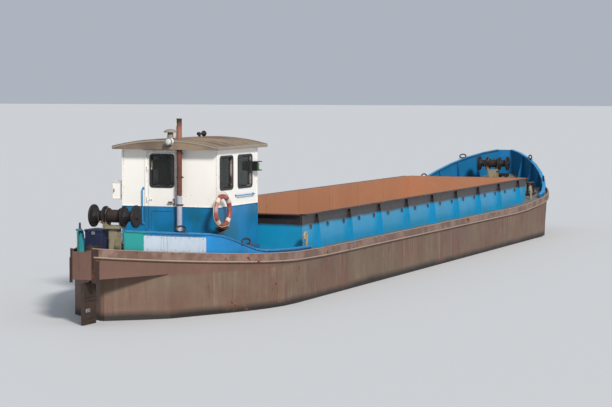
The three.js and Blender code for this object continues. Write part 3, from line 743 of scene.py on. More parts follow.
def bare_metal(name, colour, tarnish, rough=0.35):
    """Cast or drawn metal with tarnish in patches and fine casting grain."""
    material, nodes, place, _ = new_finish(name)
    patch = nodes.spread(nodes.noise(place, 6.0, 6.0, 0.65), 0.42, 0.62)
    tint = nodes.blend(patch * 0.75, colour, tarnish)
    roughness = nodes.between(patch, rough, 0.7)
    metal = nodes.between(patch, 1.0, 0.35)
    relief = nodes.bump(nodes.noise(place, 140.0, 3.0), 0.0005)
    nodes.surface(tint, roughness, relief, Metallic=metal)
    return material


material, nodes, place, _ = new_finish("window glass")
film = nodes.spread(nodes.noise(place, 5.0, 5.0, 0.6), 0.5, 0.8)
rough = 0.04 + film * 0.16
alpha = nodes.spread(film, 0.0, 1.0, 0.58, 0.7)
# The near-black colour and the opacity are painted shade for the dim cabin behind the glass.
nodes.feed(nodes.shader, {"Base Color": rgb("1d2420"), "Roughness": rough, "Alpha": alpha})
nodes.feed(nodes.shader, {"IOR": 1.5, "Specular IOR Level": 0.4})
WINDOW_GLASS = material

RUBBER = plastic("black rubber", rgb("191a1c"), gloss=0.6, faded=0.1)
BUOY_RED = plastic("buoy red", rgb("8f4544"), gloss=0.45, faded=0.3)
BUOY_WHITE = plastic("buoy white", rgb("cdb9b0"), gloss=0.5, faded=0.3)
ROPE = plastic("rope", rgb("b9a886"), gloss=0.85, faded=0.4)
RED_LENS = lens("red lens", rgb("b01c1c"))
GREEN_LENS = lens("green lens", rgb("1f9a48"))
CLEAR_LENS = lens("clear lens", rgb("dfe3df"))
BRONZE = bare_metal("bronze", rgb("a9834a"), rgb("4d5a45"))
BRASS = bare_metal("brass", rgb("c9a050"), rgb("6e5a35"), rough=0.25)
ZINC = bare_metal("zinc", rgb("a5a8a8"), rgb("6f7270"), rough=0.45)
dress(WINDOW_GLASS, *pair("window_glass"), "front_window_glass", "door_glass")
dress(RED_LENS, "port_sidelight")
dress(GREEN_LENS, "starboard_sidelight")

# %% [markdown]
# The exhaust pipe wears two finishes: a pale wrapping of old lagging to just above the belt, which keeps
# hands off it, and scaled red-brown rust above, blackened at the mouth. Above the roof the rust is painted
# lighter, as painted sunlight.

# %% Exhaust finish
def exhaust_ground(nodes, place, facing):
    z = nodes.split(place)[2]
    tone = nodes.noise(place, 9.0, 6.0, 0.7)
    rust = nodes.blend(nodes.spread(tone, 0.4, 0.62), rgb("6d3a2c"), rgb("4a2a24"))
    # Above the roof the rust is painted lighter: painted sunlight on the pipe.
    paler, sooty = nodes.spread(z, 4.28, 4.36), nodes.spread(z, 4.7, 4.9)
    lagged = z + tone * 0.12 < 3.27
    return nodes.coats(rust, (paler, rgb("8a5b47")), (sooty, rgb("1f1b1a")), (lagged, rgb("a9aebd")))


EXHAUST_STEEL = painted(
    "exhaust steel", exhaust_ground, gloss=0.7, clouds=0.25, cloud_size=0.4, runs=0.5, run_size=(0.02, 0.3),
    run_colour=rgb("5d3a2e"), chips=0.45, spots=30.0, dirt=0.1, grain=0.002,
)
dress(EXHAUST_STEEL, "exhaust_pipe")

# %% [markdown]
# Wood is grain: rings of a trunk, cut lengthwise. Stretching the place along the board and bending it with
# noise before it feeds a set of bands gives the long, wandering lines. Leather is a pebbled bump with fine
# creases, a little glossier between them.

# %% Wood and leather
def wood(name, light, dark, along=(1.0, 9.0, 9.0), gloss=0.22):
    """Varnished wood with its grain along the axis whose factor is smallest."""
    material, nodes, place, _ = new_finish(name)
    drawn = nodes.scaled(place, *along)
    bend = nodes.noise(drawn, 1.3, 3.0)
    lines = nodes.noise(nodes.scaled(drawn, 1.0, 6.0, 6.0), 2.0, 4.0, 0.6)
    tone = bend * 0.5 + lines * 0.5
    tint = nodes.blend(nodes.spread(tone, 0.4, 0.6), rgb(light), rgb(dark))
    scuffed = nodes.spread(nodes.noise(place, 14.0, 5.0, 0.7), 0.58, 0.7)
    tint = nodes.blend(scuffed * 0.35, tint, rgb("8b7558"))
    rough = gloss + scuffed * 0.4
    relief = nodes.bump(lines, 0.0006)
    nodes.surface(tint, rough, relief, Coat_Weight=0.3)
    return material


CONSOLE_WOOD = wood("console wood", "8a5a34", "54331d", along=(6.0, 1.0, 6.0))
WHEEL_WOOD = wood("wheel wood", "9a6a3c", "6a4022", along=(6.0, 6.0, 6.0))
material, nodes, place, _ = new_finish("seat leather")
cells = nodes.add("TexVoronoi", {"Vector": place, "Scale": 190.0}, feature="DISTANCE_TO_EDGE")
pebble = nodes.spread(cells["Distance"], 0.0, 0.25)
crease = nodes.noise(nodes.scaled(place, 1.0, 2.2, 1.0), 14.0, 5.0, 0.7)
tint = nodes.blend(nodes.spread(crease, 0.42, 0.66), rgb("3a2a22"), rgb("55402f"))
rough = nodes.between(nodes.spread(crease, 0.4, 0.7), 0.36, 0.58)
relief = nodes.bump(pebble, 0.0006)
relief = nodes.bump(crease, 0.003, relief)
nodes.surface(tint, rough, relief)
LEATHER = material

dress(CONSOLE_WOOD, "helm_console")

# %% [markdown]
# A piece starts as points. Bolts stand in circles, pipes turn their corners in arcs and stays stand at even
# steps, so a few small functions give all of those. Profiles and sections are drawn in millimetres, as a
# workshop draws them, and places are in metres. The barge's axes get names, because UP says more than three
# numbers do.

# %% Helpers for points
UP = Vector((0, 0, 1))
FORWARD = Vector((1, 0, 0))
AFTWARD = -FORWARD
TO_PORT = Vector((0, 1, 0))


def mm(*pairs):
    """A profile or a section that is drawn in millimetres, in metres."""
    return [(a / 1000, b / 1000) for a, b in pairs]


def stations(start, end, steps):
    """Even steps from start to end."""
    return [start + (end - start) * i / steps for i in range(steps + 1)]


def ring_angles(count, shift=0.0):
    """Angles round a circle, shifted by a part of one step."""
    return [tau * (i + shift) / count for i in range(count)]


def polar(radius, angle, height=0.0):
    return Vector((radius * cos(angle), radius * sin(angle), height))


def bent(points, radius, steps=6):
    """A path through points whose inner corners are rounded."""
    points = [Vector(p) for p in points]
    path = [points[0]]
    for before, here, after in zip(points, points[1:], points[2:]):
        back = (before - here).normalized() * radius
        on = (after - here).normalized() * radius
        path += [here + back * (1 - t) ** 2 + on * t ** 2 for t in stations(0, 1, steps)]
    path.append(points[-1])
    return path


def arc(centre, radius, start, end, steps):
    """Points of an arc in a plane, from one angle to another in degrees."""
    angles = [radians(a) for a in stations(start, end, steps)]
    return [(centre[0] + radius * cos(a), centre[1] + radius * sin(a)) for a in angles]


def rounded(u0, v0, u1, v1, radius, steps=4):
    """A rectangle with round corners, anticlockwise from its lower right corner."""
    corners = [
        ((u1 - radius, v0 + radius), -90), ((u1 - radius, v1 - radius), 0),
        ((u0 + radius, v1 - radius), 90), ((u0 + radius, v0 + radius), 180),
    ]
    return [p for centre, start in corners for p in arc(centre, radius, start, start + 90, steps)]


print("a square with round corners has", len(rounded(0, 0, 1, 1, 0.1)), "points")

# %% [markdown]
# Small pieces are made in mesh code. Most of them are one of four things: a shape turned on an axis, a
# tube along a path, a bar of some section along a path, or a block with its edges taken off. All four are
# a skin over a row of loops, so one helper keeps a bmesh, adds skins to it, and hands over a finished
# piece that rides on its body. It is then empty for the next one. Every piece is drawn where it belongs, so
# its object stays at the origin.

# %% Helper for pieces
class Build:
    """Holds a piece while it is made. Each shape is moved by self.at and has a finish number."""

    def __init__(self):
        self.mesh = bmesh.new()
        self.at = Matrix.Identity(4)

    def skin(self, loops, finish=0, closed=False):
        """Faces between each loop and the next. The ends are closed by a face, or joined to each other."""
        rows = [[self.mesh.verts.new(self.at @ Vector(p)) for p in loop] for loop in loops]
        count = len(rows[0])
        faces = []
        for i in range(len(rows) if closed else len(rows) - 1):
            here = rows[i]
            after = rows[(i + 1) % len(rows)]
            for j in range(count):
                k = (j + 1) % count
                faces.append(self.mesh.faces.new((here[j], here[k], after[k], after[j])))
        if not closed:
            faces.append(self.mesh.faces.new(rows[0]))
            faces.append(self.mesh.faces.new(rows[-1][::-1]))
        for face in faces:
            face.material_index = finish
            face.smooth = True

    def turned(self, centre, axis, profile, finish=0, sides=24, closed=False):
        """Turns a profile of (along, radius) pairs about an axis through centre."""
        axis = Vector(axis).normalized()
        u = axis.orthogonal().normalized()
        v = axis.cross(u)
        angles = ring_angles(sides)
        loops = [
            [Vector(centre) + axis * along + (u * cos(a) + v * sin(a)) * radius for a in angles]
            for along, radius in profile
        ]
        self.skin(loops, finish, closed)

    def rod(self, centre, axis, radius, start, end, finish=0, sides=20, edge=0.003):
        """A round bar with its ends taken off."""
        profile = [
            (start, radius - edge), (start + edge, radius), (end - edge, radius), (end, radius - edge),
        ]
        self.turned(centre, axis, profile, finish, sides)

    def tube(self, path, radius, finish=0, sides=8, closed=False):
        """A round tube along a path."""
        path = [Vector(p) for p in path]
        angles = ring_angles(sides)
        loops = []
        up = None
        for i, point in enumerate(path):
            before = path[i - 1] if closed or i else point
            after = path[(i + 1) % len(path)] if closed or i < len(path) - 1 else point
            ahead = (after - before).normalized()
            up = up or ahead.orthogonal()
            up = (up - ahead * up.dot(ahead)).normalized()
            side = ahead.cross(up)
            loops.append([point + (up * cos(a) + side * sin(a)) * radius for a in angles])
        self.skin(loops, finish, closed)

    def bar(self, path, outline, up=UP, finish=0, closed=False):
        """A bar with a section of (outward, up) pairs, mitred along a flat path. Outward is to its right."""
        path = [Vector(p) for p in path]
        up = Vector(up)
        loops = []
        for i, point in enumerate(path):
            sides = []
            if closed or i:
                sides.append((point - path[i - 1]).cross(up).normalized())
            if closed or i < len(path) - 1:
                sides.append((path[(i + 1) % len(path)] - point).cross(up).normalized())
            side = sides[0] if len(sides) == 1 else (sides[0] + sides[1]) / (1 + sides[0].dot(sides[1]))
            loops.append([point + side * out + up * high for out, high in outline])
        self.skin(loops, finish, closed)

    def block(self, low, high, finish=0, edge=0.004):
        """A box with its edges taken off."""
        def ring(z, inset):
            x0, y0, x1, y1 = low[0] + inset, low[1] + inset, high[0] - inset, high[1] - inset
            c = edge
            return [
                (x0 + c, y0, z), (x1 - c, y0, z), (x1, y0 + c, z), (x1, y1 - c, z), (x1 - c, y1, z),
                (x0 + c, y1, z), (x0, y1 - c, z), (x0, y0 + c, z),
            ]
        levels = [(low[2], edge), (low[2] + edge, 0), (high[2] - edge, 0), (high[2], edge)]
        self.skin([ring(z, inset) for z, inset in levels], finish)

    def slab(self, outline, move, finish=0):
        """A flat outline made solid by a move."""
        self.skin([outline, [Vector(p) + Vector(move) for p in outline]], finish)

    def plate(self, place, outline, thick, finish=0):
        """An upright plate along the barge. Its outline is pairs of (forward, up) from a place."""
        x, y, z = place
        self.slab([(x + forward, y, z + up) for forward, up in outline], TO_PORT * thick, finish)

    def staple(self, start, end, out, bend, radius, finish=0, sides=8):
        """A round bar from start to end that stands off by out, with bent corners."""
        start, end, out = Vector(start), Vector(end), Vector(out)
        self.tube(bent([start, start + out, end + out, end], bend), radius, finish, sides)

    def bolt(self, place, axis, size=0.016, finish=0):
        """A hexagon head on its washer, whose size is half its width."""
        profile = [(0, 1.35), (0.15, 1.35), (0.16, 1), (0.7, 1), (0.8, 0.8)]
        self.turned(place, axis, [(size * along, size * out) for along, out in profile], finish, sides=6)

    def bolt_ring(self, centre, radius, count, size, finish=0, shift=0.0):
        """Upright bolts in a circle."""
        for angle in ring_angles(count, shift):
            self.bolt(Vector(centre) + polar(radius, angle), UP, size, finish)

    def mirrored(self):
        """Goes round twice, as drawn and then mirrored to the other side, with 1 and -1."""
        for side in SIDES.values():
            self.at = Matrix.Diagonal((1, side, 1, 1))
            yield side
        self.at = Matrix.Identity(4)

    def done(self, name, finishes, body="hull", angle=38):
        """Hands over the piece: its finishes and the body that it rides on."""
        bmesh.ops.recalc_face_normals(self.mesh, faces=self.mesh.faces)
        mesh = bpy.data.meshes.new(name)
        self.mesh.to_mesh(mesh)
        self.mesh.clear()
        for finish in finishes:
            mesh.materials.append(finish)
        mesh.set_sharp_from_angle(angle=radians(angle))
        piece = bpy.data.objects.new(name, mesh)
        bpy.context.collection.objects.link(piece)
        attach(piece, body)
        print(f"{name}: {len(mesh.polygons)} faces, rides on {body}")
        return piece


build = Build()

# %% [markdown]
# Frames and mouldings run round an opening in a wall. They are drawn flat, along the wall and out of it,
# and a small function for each wall says where that is on the barge.

# %% Helpers for walls
def on_side(y):
    """Maps (along, height, out) to the outer face of a port wall at y."""
    return lambda u, v, out: Vector((u, y + out, v))


def on_back(x):
    """Maps (across, height, out) to an aft-facing wall at x."""
    return lambda u, v, out: Vector((x - out, u, v))


def on_front(x):
    """Maps (across, height, out) to a forward-facing wall at x."""
    return lambda u, v, out: Vector((x + out, u, v))


def moulding(opening, radius, section, onto, finish=0):
    """Runs a section of (away from the edge, out of the wall) round an opening (u0, v0, u1, v1)."""
    u0, v0, u1, v1 = opening
    loops = []
    for u, v in rounded(u0, v0, u1, v1, radius):
        inner_u = min(max(u, u0 + radius), u1 - radius)
        inner_v = min(max(v, v0 + radius), v1 - radius)
        away = Vector((u - inner_u, v - inner_v)).normalized()
        loops.append([onto(u + away.x * a, v + away.y * a, out) for a, out in section])
    build.skin(loops, finish, closed=True)


FRAME_SECTION = mm((-6, -2), (-6, 10), (2, 16), (34, 16), (42, 8), (42, -2))
GASKET_SECTION = mm((-20, -44), (-20, -30), (-4, 4), (4, 4), (4, -44))
HALF_ROUND = mm((-1, -16), (8, -14), (14, 0), (8, 14), (-1, 16))
print("window frames are", round(1000 * (FRAME_SECTION[-1][0] - FRAME_SECTION[0][0])), "mm wide")

# %% [markdown]
# Each window is held by a frame screwed over its edge, with a black gasket between the frame and the
# glass. The frame's section is swept round the opening's rounded outline. One piece holds all the frames
# of the wheelhouse, and the door's own frame swings with the door.

# %% Window frames
DOOR_WINDOW = (-0.08, 3.41, 0.46, 4.1)


def window(opening, onto):
    """A frame, its gasket and a row of screws."""
    moulding(opening, 0.045, FRAME_SECTION, onto)
    moulding(opening, 0.035, GASKET_SECTION, onto, finish=1)
    u0, v0, u1, v1 = opening
    out = onto(0, 0, 1) - onto(0, 0, 0)
    for u in (u0 + 0.08, (u0 + u1) / 2, u1 - 0.08):
        for v in (v0 - 0.02, v1 + 0.02):
            build.turned(onto(u, v, 0.014), out, mm((0, 7), (3, 7), (5, 4)), 2, sides=8)


for side in build.mirrored():
    for aft, fore in SIDE_WINDOWS:
        window((aft, SILL, fore, WINDOW_TOP), on_side(CABIN.half))
for low, high in FRONT_WINDOWS:
    window((low, SILL, high, WINDOW_TOP), on_front(CABIN.fore))
build.done("window_frames", [BLACK_PAINT, RUBBER, ZINC])

# %% [markdown]
# The walls are dressed with a half-round belt where white meets blue, angle strips on the corners, a drip
# bar over the door and a flange at the foot with its bolts. They follow the walls' own outline, so each is
# a bar along a path with mitred corners.

# %% Wall dressing
CORNERS = [
    (CABIN.aft, CABIN.half), (CABIN.fore, CABIN.half), (CABIN.fore, -CABIN.half), (CABIN.aft, -CABIN.half),
]

belt = [(CABIN.aft, 0.62), *CORNERS, (CABIN.aft, -0.22)]
outline = [(-out, high) for out, high in HALF_ROUND]
build.bar([(x, y, BELT) for x, y in belt], outline)
middle = (CABIN.aft + CABIN.fore) / 2
near, far = 0.007, 0.035
for x, y in CORNERS:
    out_x, out_y = copysign(1, x - middle), copysign(1, y)
    points = [
        (x + out_x * near, y + out_y * near), (x - out_x * far, y + out_y * near), (x - out_x * far, y),
        (x, y), (x, y - out_y * far), (x + out_x * near, y - out_y * far),
    ]
    build.slab([(px, py, CABIN.floor + 0.02) for px, py in points], (0, 0, 2.24))
jamb = mm((36, -2), (36, 10), (80, 10), (84, -2))
moulding((-0.16, 2.04, 0.54, 4.18), 0.02, jamb, on_back(CABIN.aft))
build.block((CABIN.aft - 0.055, -0.26, 4.205), (CABIN.aft + 0.002, 0.66, 4.222))
foot = mm((-1, 0), (60, 0), (60, 8), (8, 8), (8, 55), (-1, 55))
around = [(x + copysign(0.041, x - middle), y + copysign(0.041, y)) for x, y in CORNERS]
path = [(x, y, deck_height(x) + 0.004) for x, y in around]
build.bar(path, [(-out, high) for out, high in foot], closed=True)
for i in range(11):
    x = CABIN.aft + 0.1 + i * 0.205
    for side in SIDES.values():
        build.bolt((x, side * (CABIN.half + 0.075), deck_height(x) + 0.012), UP, 0.011, 1)
build.done("wall_dressing", [WALL, RUSTY])

# %% [markdown]
# Handrails stand off the walls on turned feet. Each is a tube bent down to the wall at both ends, and the
# bends are arcs, because a pipe that turns a square corner looks like wire.

# %% Handrails
def rail(start, end, out):
    build.staple(start, end, out, 0.035, 0.013, sides=10)
    for foot in (start, end):
        build.turned(foot, out, mm((0, 32), (6, 32), (10, 24), (16, 16)), sides=16)


for y in (-0.225, 0.655):
    rail((CABIN.aft, y, 2.55), (CABIN.aft, y, 3.35), (-0.055, 0, 0))
for side in SIDES.values():
    wall = side * CABIN.half
    rail((-10.62, wall, 3.17), (-9.62, wall, 3.17), (0, side * 0.055, 0))
for y in (-0.95, 0.95):
    rail((CABIN.fore, y, 2.7), (CABIN.fore, y, 3.2), (0.055, 0, 0))
build.done("handrails", [LIGHT_BLUE])

# %% [markdown]
# The roof is a cambered sheet with raised seams across it and a weathered edge. Across the barge its
# height follows a flat parabola, so one function gives it, and seams, rims and vents all start from there.

# %% Roof
ROOF = SimpleNamespace(aft=-11.85, fore=-9.05, half=1.3, low=4.2403, edge=0.07, crown=0.23)


def roof_height(y):
    """Height of the roof's top at y."""
    rise = ROOF.crown - ROOF.edge
    return ROOF.low + ROOF.edge + rise * (1 - (y / ROOF.half) ** 2)


across = stations(-ROOF.half, ROOF.half, 24)


def strip(x0, x1, low, high, finish):
    build.skin([
        [
            (x0, y, roof_height(y) + low), (x1, y, roof_height(y) + low),
            (x1 - 0.004, y, roof_height(y) + high), (x0 + 0.004, y, roof_height(y) + high),
        ]
        for y in across
    ], finish)


for i in range(5):
    seam = ROOF.aft + 0.47 + i * 0.465
    strip(seam - 0.016, seam + 0.016, -0.006, 0.012, 0)
strip(ROOF.aft - 0.01, ROOF.aft + 0.04, -0.006, 0.008, 0)
strip(ROOF.aft - 0.01, ROOF.aft - 0.001, -0.05, 0.006, 1)
strip(ROOF.fore - 0.04, ROOF.fore + 0.01, -0.006, 0.008, 0)
strip(ROOF.fore + 0.001, ROOF.fore + 0.01, -0.062, 0.006, 1)
edge = mm((-1, -36), (12, -36), (18, -20), (18, 26), (8, 38), (-1, 38))
for side in build.mirrored():
    build.bar([(ROOF.fore + 0.01, ROOF.half, 4.275), (ROOF.aft - 0.01, ROOF.half, 4.275)], edge, finish=1)
build.done("roof_trim", [ROOF_PAINT, EAVE_PAINT])

# %% [markdown]
# A mushroom vent, a short whip and a horn stand on the roof. The first two are turned profiles on an
# upright axis, and the horn is one on an axis that lies along the barge.

# %% Roof gear
vent_y = 0.62
base = Vector((-10.25, vent_y, roof_height(vent_y) - 0.004))
build.turned(base, UP, mm(
    (0, 110), (12, 110), (20, 75), (130, 70), (135, 60), (160, 60), (155, 150), (165, 158), (185, 150),
    (215, 105), (230, 50), (234, 4),
))
build.bolt_ring(base + UP * 0.012, 0.094, 6, 0.008, 1)
whip_y = -0.1
foot = Vector((-11.45, whip_y, roof_height(whip_y) - 0.004))
build.turned(foot, UP, mm((0, 45), (10, 45), (16, 22), (70, 18), (75, 10), (445, 6), (450, 2)), 3, sides=12)
horn = Vector((-9.42, 0.25, roof_height(0.25) + 0.075))
build.turned(horn, FORWARD, mm(
    (-90, 30), (-85, 42), (-30, 42), (-25, 18), (120, 24), (190, 40), (225, 70), (230, 70), (200, 34),
    (130, 12),
), 1)
build.block((-9.47, 0.23, roof_height(0.25) - 0.004), (-9.4, 0.27, roof_height(0.25) + 0.05), 1)
build.done("roof_vent_whip_and_horn", [EAVE_PAINT, BLACK_PAINT, ZINC, WHITE_PAINT])

# %% [markdown]
# The stern lamp on the roof's edge is a round housing with a bezel and a glass, and its wire runs back to
# the roof in a conduit.

# %% Lamp
LAMP = Vector((-12.0003, -0.17, 4.43))

build.turned(LAMP, AFTWARD, mm((-16, 75.5), (-16, 84), (8, 86), (16, 80), (12, 68), (2, 66)), sides=32)
build.turned(LAMP, AFTWARD, mm((1, 66), (10, 62), (18, 45), (23, 22), (24, 2)), 1, sides=32)
path = bent([(-11.9, -0.17, 4.352), (-11.9, -0.17, 4.315), (-11.9, -0.02, 4.3), (-11.858, 0.02, 4.3)], 0.03)
build.tube(path, 0.008, 2, sides=6)
build.done("roof_lamp_glass", [ZINC, CLEAR_LENS, RUBBER])

# %% [markdown]
# The exhaust has clamp bands, a foot flange with its bolts, and a rolled lip round its black mouth.

# %% Exhaust
EXHAUST = Vector((-11.72, -0.3, 0))

for z in (3.0, 3.62, 4.16):
    build.turned(EXHAUST + UP * z, UP, mm((-20, 60), (-20, 66), (-14, 68), (14, 68), (20, 66), (20, 60)))
    build.block((-11.74, -0.395, z - 0.016), (-11.7, -0.364, z + 0.016))
    build.bolt((-11.74, -0.382, z), AFTWARD, 0.01)
deck = deck_height(EXHAUST.x)
build.turned(EXHAUST + UP * deck, UP, mm((-2, 130), (14, 130), (16, 75), (50, 68), (60, 60)))
build.bolt_ring(EXHAUST + Vector((0, 0, deck + 0.014)), 0.105, 6, 0.01, shift=0.5)
build.turned(EXHAUST + UP * 4.93, UP, mm((-10, 60), (-6, 66), (4, 66), (7, 60), (4, 52), (0.5, 50)))
build.turned(EXHAUST + UP * 4.93, UP, mm((0.2, 51), (1.2, 49)), 1)
build.done("exhaust_clamps_and_lip", [RUSTY, RUBBER])

# %% [markdown]
# The lifebuoy is a ring of bleached plastic with four white bands and a grab line. The grab line is seized
# under the bands and hangs a little between them, and at the foot it passes in front of the cradle. It is
# part of the buoy, so it is made in the same piece, with a finish of its own.

# %% Lifebuoy
BUOY = SimpleNamespace(centre=Vector((-11.7, -1.35, 2.89)), radius=0.325, tube=0.055, turn=radians(5))

centre, radius, thick = BUOY.centre, BUOY.radius, BUOY.tube
across = Vector((cos(BUOY.turn), -sin(BUOY.turn), 0))
outboard = -Vector((sin(BUOY.turn), cos(BUOY.turn), 0))


def round_ring(angle, out=0.0, lift=0.0):
    spoke = across * cos(angle) + UP * sin(angle)
    return centre + spoke * (radius + out) + outboard * lift


build.tube([round_ring(a) for a in ring_angles(72)], thick, sides=20, closed=True)
for middle in ring_angles(4, 0.5):
    for shift, reach, grow, finish in (
        (0, 0.15, 0.0015, 1), (-0.165, 0.012, 0.004, 2), (0.165, 0.012, 0.004, 2),
    ):
        angles = stations(middle + shift - reach, middle + shift + reach, 12)
        build.tube([round_ring(a) for a in angles], thick + grow, finish, sides=20)
line = []
for a in ring_angles(96):
    slack = abs(sin(2 * (a - radians(45)))) ** 0.8
    low = max(0.0, -sin(a)) ** 6
    reach = thick + 0.01 + 0.03 * slack
    line.append(round_ring(a, reach * cos(low * 1.5), reach * sin(low * 1.5)))
build.tube(line, 0.0075, 2, closed=True)
buoy = build.done("lifebuoy_ring", [BUOY_RED, BUOY_WHITE, ROPE])
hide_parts("lifebuoy")

# %% [markdown]
# The cradle that the buoy stands in gets a lip aft, a lip outboard and two gussets under its shelf.

# %% Cradle
low = BUOY.centre.z - BUOY.radius - BUOY.tube
build.block((-11.765, -1.425, low - 0.026), (-11.752, -1.275, low + 0.05), edge=0.003)
build.block((-11.7, -1.432, low - 0.026), (-11.56, -1.421, low + 0.035), edge=0.003)
for x in (-11.57, -11.53):
    build.slab([
        (x, -1.1905, low - 0.12), (x, -1.212, low - 0.12), (x, -1.4, low - 0.027),
        (x, -1.1905, low - 0.027),
    ], (0.008, 0, 0))
build.done("lifebuoy_cradle_lips", [RUSTY])

# %% [markdown]
# A box on a wall gets what makes it a locker: a door with a raised rim, hinges, and a hasp with its staple.

# %% Wall locker
moulding((1.215, 3.105, 1.465, 3.455), 0.012, mm((-2, -1), (-2, 6), (12, 8), (14, -1)), on_back(-11.52))
build.block((-11.54, 1.188, 3.48), (-11.2, 1.505, 3.496), edge=0.005)
for z in (3.16, 3.4):
    build.rod((-11.528, 1.202, z), UP, 0.007, -0.03, 0.03, 1, sides=10)
    build.block((-11.529, 1.204, z - 0.018), (-11.519, 1.255, z + 0.018), 1, edge=0.002)
build.block((-11.53, 1.428, 3.25), (-11.519, 1.462, 3.32), 1, edge=0.002)
build.staple((-11.53, 1.445, 3.275), (-11.53, 1.445, 3.235), (-0.018, 0, 0), 0.012, 0.004, 1, sides=6)
build.done("wall_locker_door_and_hasp", [WHITE_PAINT, ZINC])

# %% [markdown]
# The side lights have a foot, a cap and four guard rods round their lenses.

# %% Side lights
for side in build.mirrored():
    foot = Vector((-9.56, 1.2706, 3.7203))
    build.turned(foot, UP, mm((0, 58), (12, 58), (16, 51)))
    build.turned(foot + UP * 0.128, UP, mm((0, 50), (0, 56), (10, 57), (22, 44), (30, 20), (32, 3)))
    for a in ring_angles(4, 0.5):
        build.rod(foot + polar(0.056, a), UP, 0.003, 0.008, 0.134, 1, sides=6, edge=0.0005)
build.done("sidelight_caps_and_guards", [BLACK_PAINT, BRASS])

# %% [markdown]
# The door's own dressing swings with it: the window's frame, a raised panel below, a lock plate and a grip
# round the bar handle. The long hinge straps get their bolts.

# %% Door dressing
wall = on_back(CABIN.aft)
window(DOOR_WINDOW, wall)
panel = mm((-4, -1), (-4, 4), (6, 10), (22, 10), (30, -1))
moulding((-0.06, 2.2, 0.42, 2.84), 0.02, panel, wall, finish=3)
build.block((CABIN.aft - 0.004, -0.125, 2.97), (CABIN.aft + 0.001, -0.075, 3.13), 2, edge=0.0015)
build.rod((-11.6525, -0.11, 3.05), TO_PORT, 0.019, 0.015, 0.125, 1, sides=14)
for z in (2.4, 3.1, 3.8):
    for y in (0.45, 0.49):
        build.bolt((CABIN.aft - 0.012, y, z), AFTWARD, 0.008, 2)
build.block((CABIN.aft - 0.003, -0.13, 2.065), (CABIN.aft + 0.001, 0.505, 2.17), 2, edge=0.0015)
build.done("door_dressing", [BLACK_PAINT, RUBBER, ZINC, WALL], body="door")

# %% [markdown]
# Along the deck's edge the hull is made of short straight lengths, as the drawing has it. What follows the
# edge uses the same stations, so it lies on the steel all the way round and not on an ideal curve.

# %% Beads along the deck's edge
STERN_STATIONS = stations(-HALF_LENGTH, -10.175, 9)
EDGE_STATIONS = [*STERN_STATIONS, -8.6, -8.0, 8.0, 9.5, 11.0, *stations(SHOULDER, HALF_LENGTH, 8)]
STERN_RAIL = [
    -14.95, *(x for x in STERN_STATIONS if -14.75 < x < -12.9), *stations(-12.9, -11.4, 5), -10.8, -10.175,
    -9.0,
]
BOW_RAIL = [*stations(SHOULDER, HALF_LENGTH, 8)[:-1], 15.67]


def starboard_path(places, inset, lift):
    """A path along the starboard deck edge, running forward, with its right hand outboard."""
    return [(x, -(deck_half(x) - inset), deck_height(x) + lift(x)) for x in places]


def edge_slope(x):
    """How fast the deck widens at x."""
    return (deck_half(x + 0.05) - deck_half(x - 0.05)) / 0.1


PALE_EDGE = painted(
    "worn edge", rgb("9b8878"), gloss=0.55, clouds=0.2, cloud_size=0.6, runs=0.3, chips=0.55, spots=8.0,
    edge=0.004,
)
bead = mm((-18, -2), (18, -2), (20, 6), (10, 14), (-10, 14), (-20, 6))
lower = mm((-1, -16), (10, -12), (16, 0), (10, 12), (-1, 16))
for side in build.mirrored():
    build.bar(starboard_path(EDGE_STATIONS, -0.026, lambda x: 0.06), bead)
    build.bar(starboard_path(EDGE_STATIONS, -0.05, lambda x: -0.115), lower)
build.done("deck_edge_beads", [PALE_EDGE])

# %% [markdown]
# Each bulwark has a bright rail on top and stays behind it, which stand on the deck and lean on the plate.

# %% Cap rails and stays
top = mm((-58, 0), (58, 0), (52, 10), (30, 18), (-30, 18), (-52, 10))
for side in build.mirrored():
    for places in (STERN_RAIL, BOW_RAIL):
        build.bar(starboard_path(places, BULWARK_INSET + 0.03, bulwark_height), top)
build.done("bulwark_cap_rails", [LIGHT_BLUE])

for side in build.mirrored():
    for x in (-14.45, -13.85, -13.25, -12.05, 12.3, 13.0, 13.7, 14.4, 15.05):
        inward = Vector((edge_slope(x), -1, 0)).normalized()
        foot = Vector((x, deck_half(x) - BULWARK_INSET - 0.028, deck_height(x)))
        high = bulwark_height(x) - 0.026
        reach = 0.1 + 0.15 * high
        shape = [(0, -0.02), (reach, -0.02), (reach, 0.02), (0.05, high - 0.05), (0.03, high), (0, high)]
        outline = [foot + inward * a + UP * b for a, b in shape]
        build.slab(outline, UP.cross(inward) * 0.01)
build.done("bulwark_stays", [BLUE_STEEL])

# %% [markdown]
# The stern bulwarks carry a board on each side, pale and left blank, with a bead above and below it and
# screws through it.

# %% Boards on the stern bulwarks
BOARD = SimpleNamespace(aft=-14.52, fore=-13.02, low=0.07, high=0.415, thick=0.016)
BOARD_PAINT = painted(
    "board paint", rgb("aab6c3"), gloss=0.42, clouds=0.16, chips=0.36, runs=0.65, dirt=0.25,
)

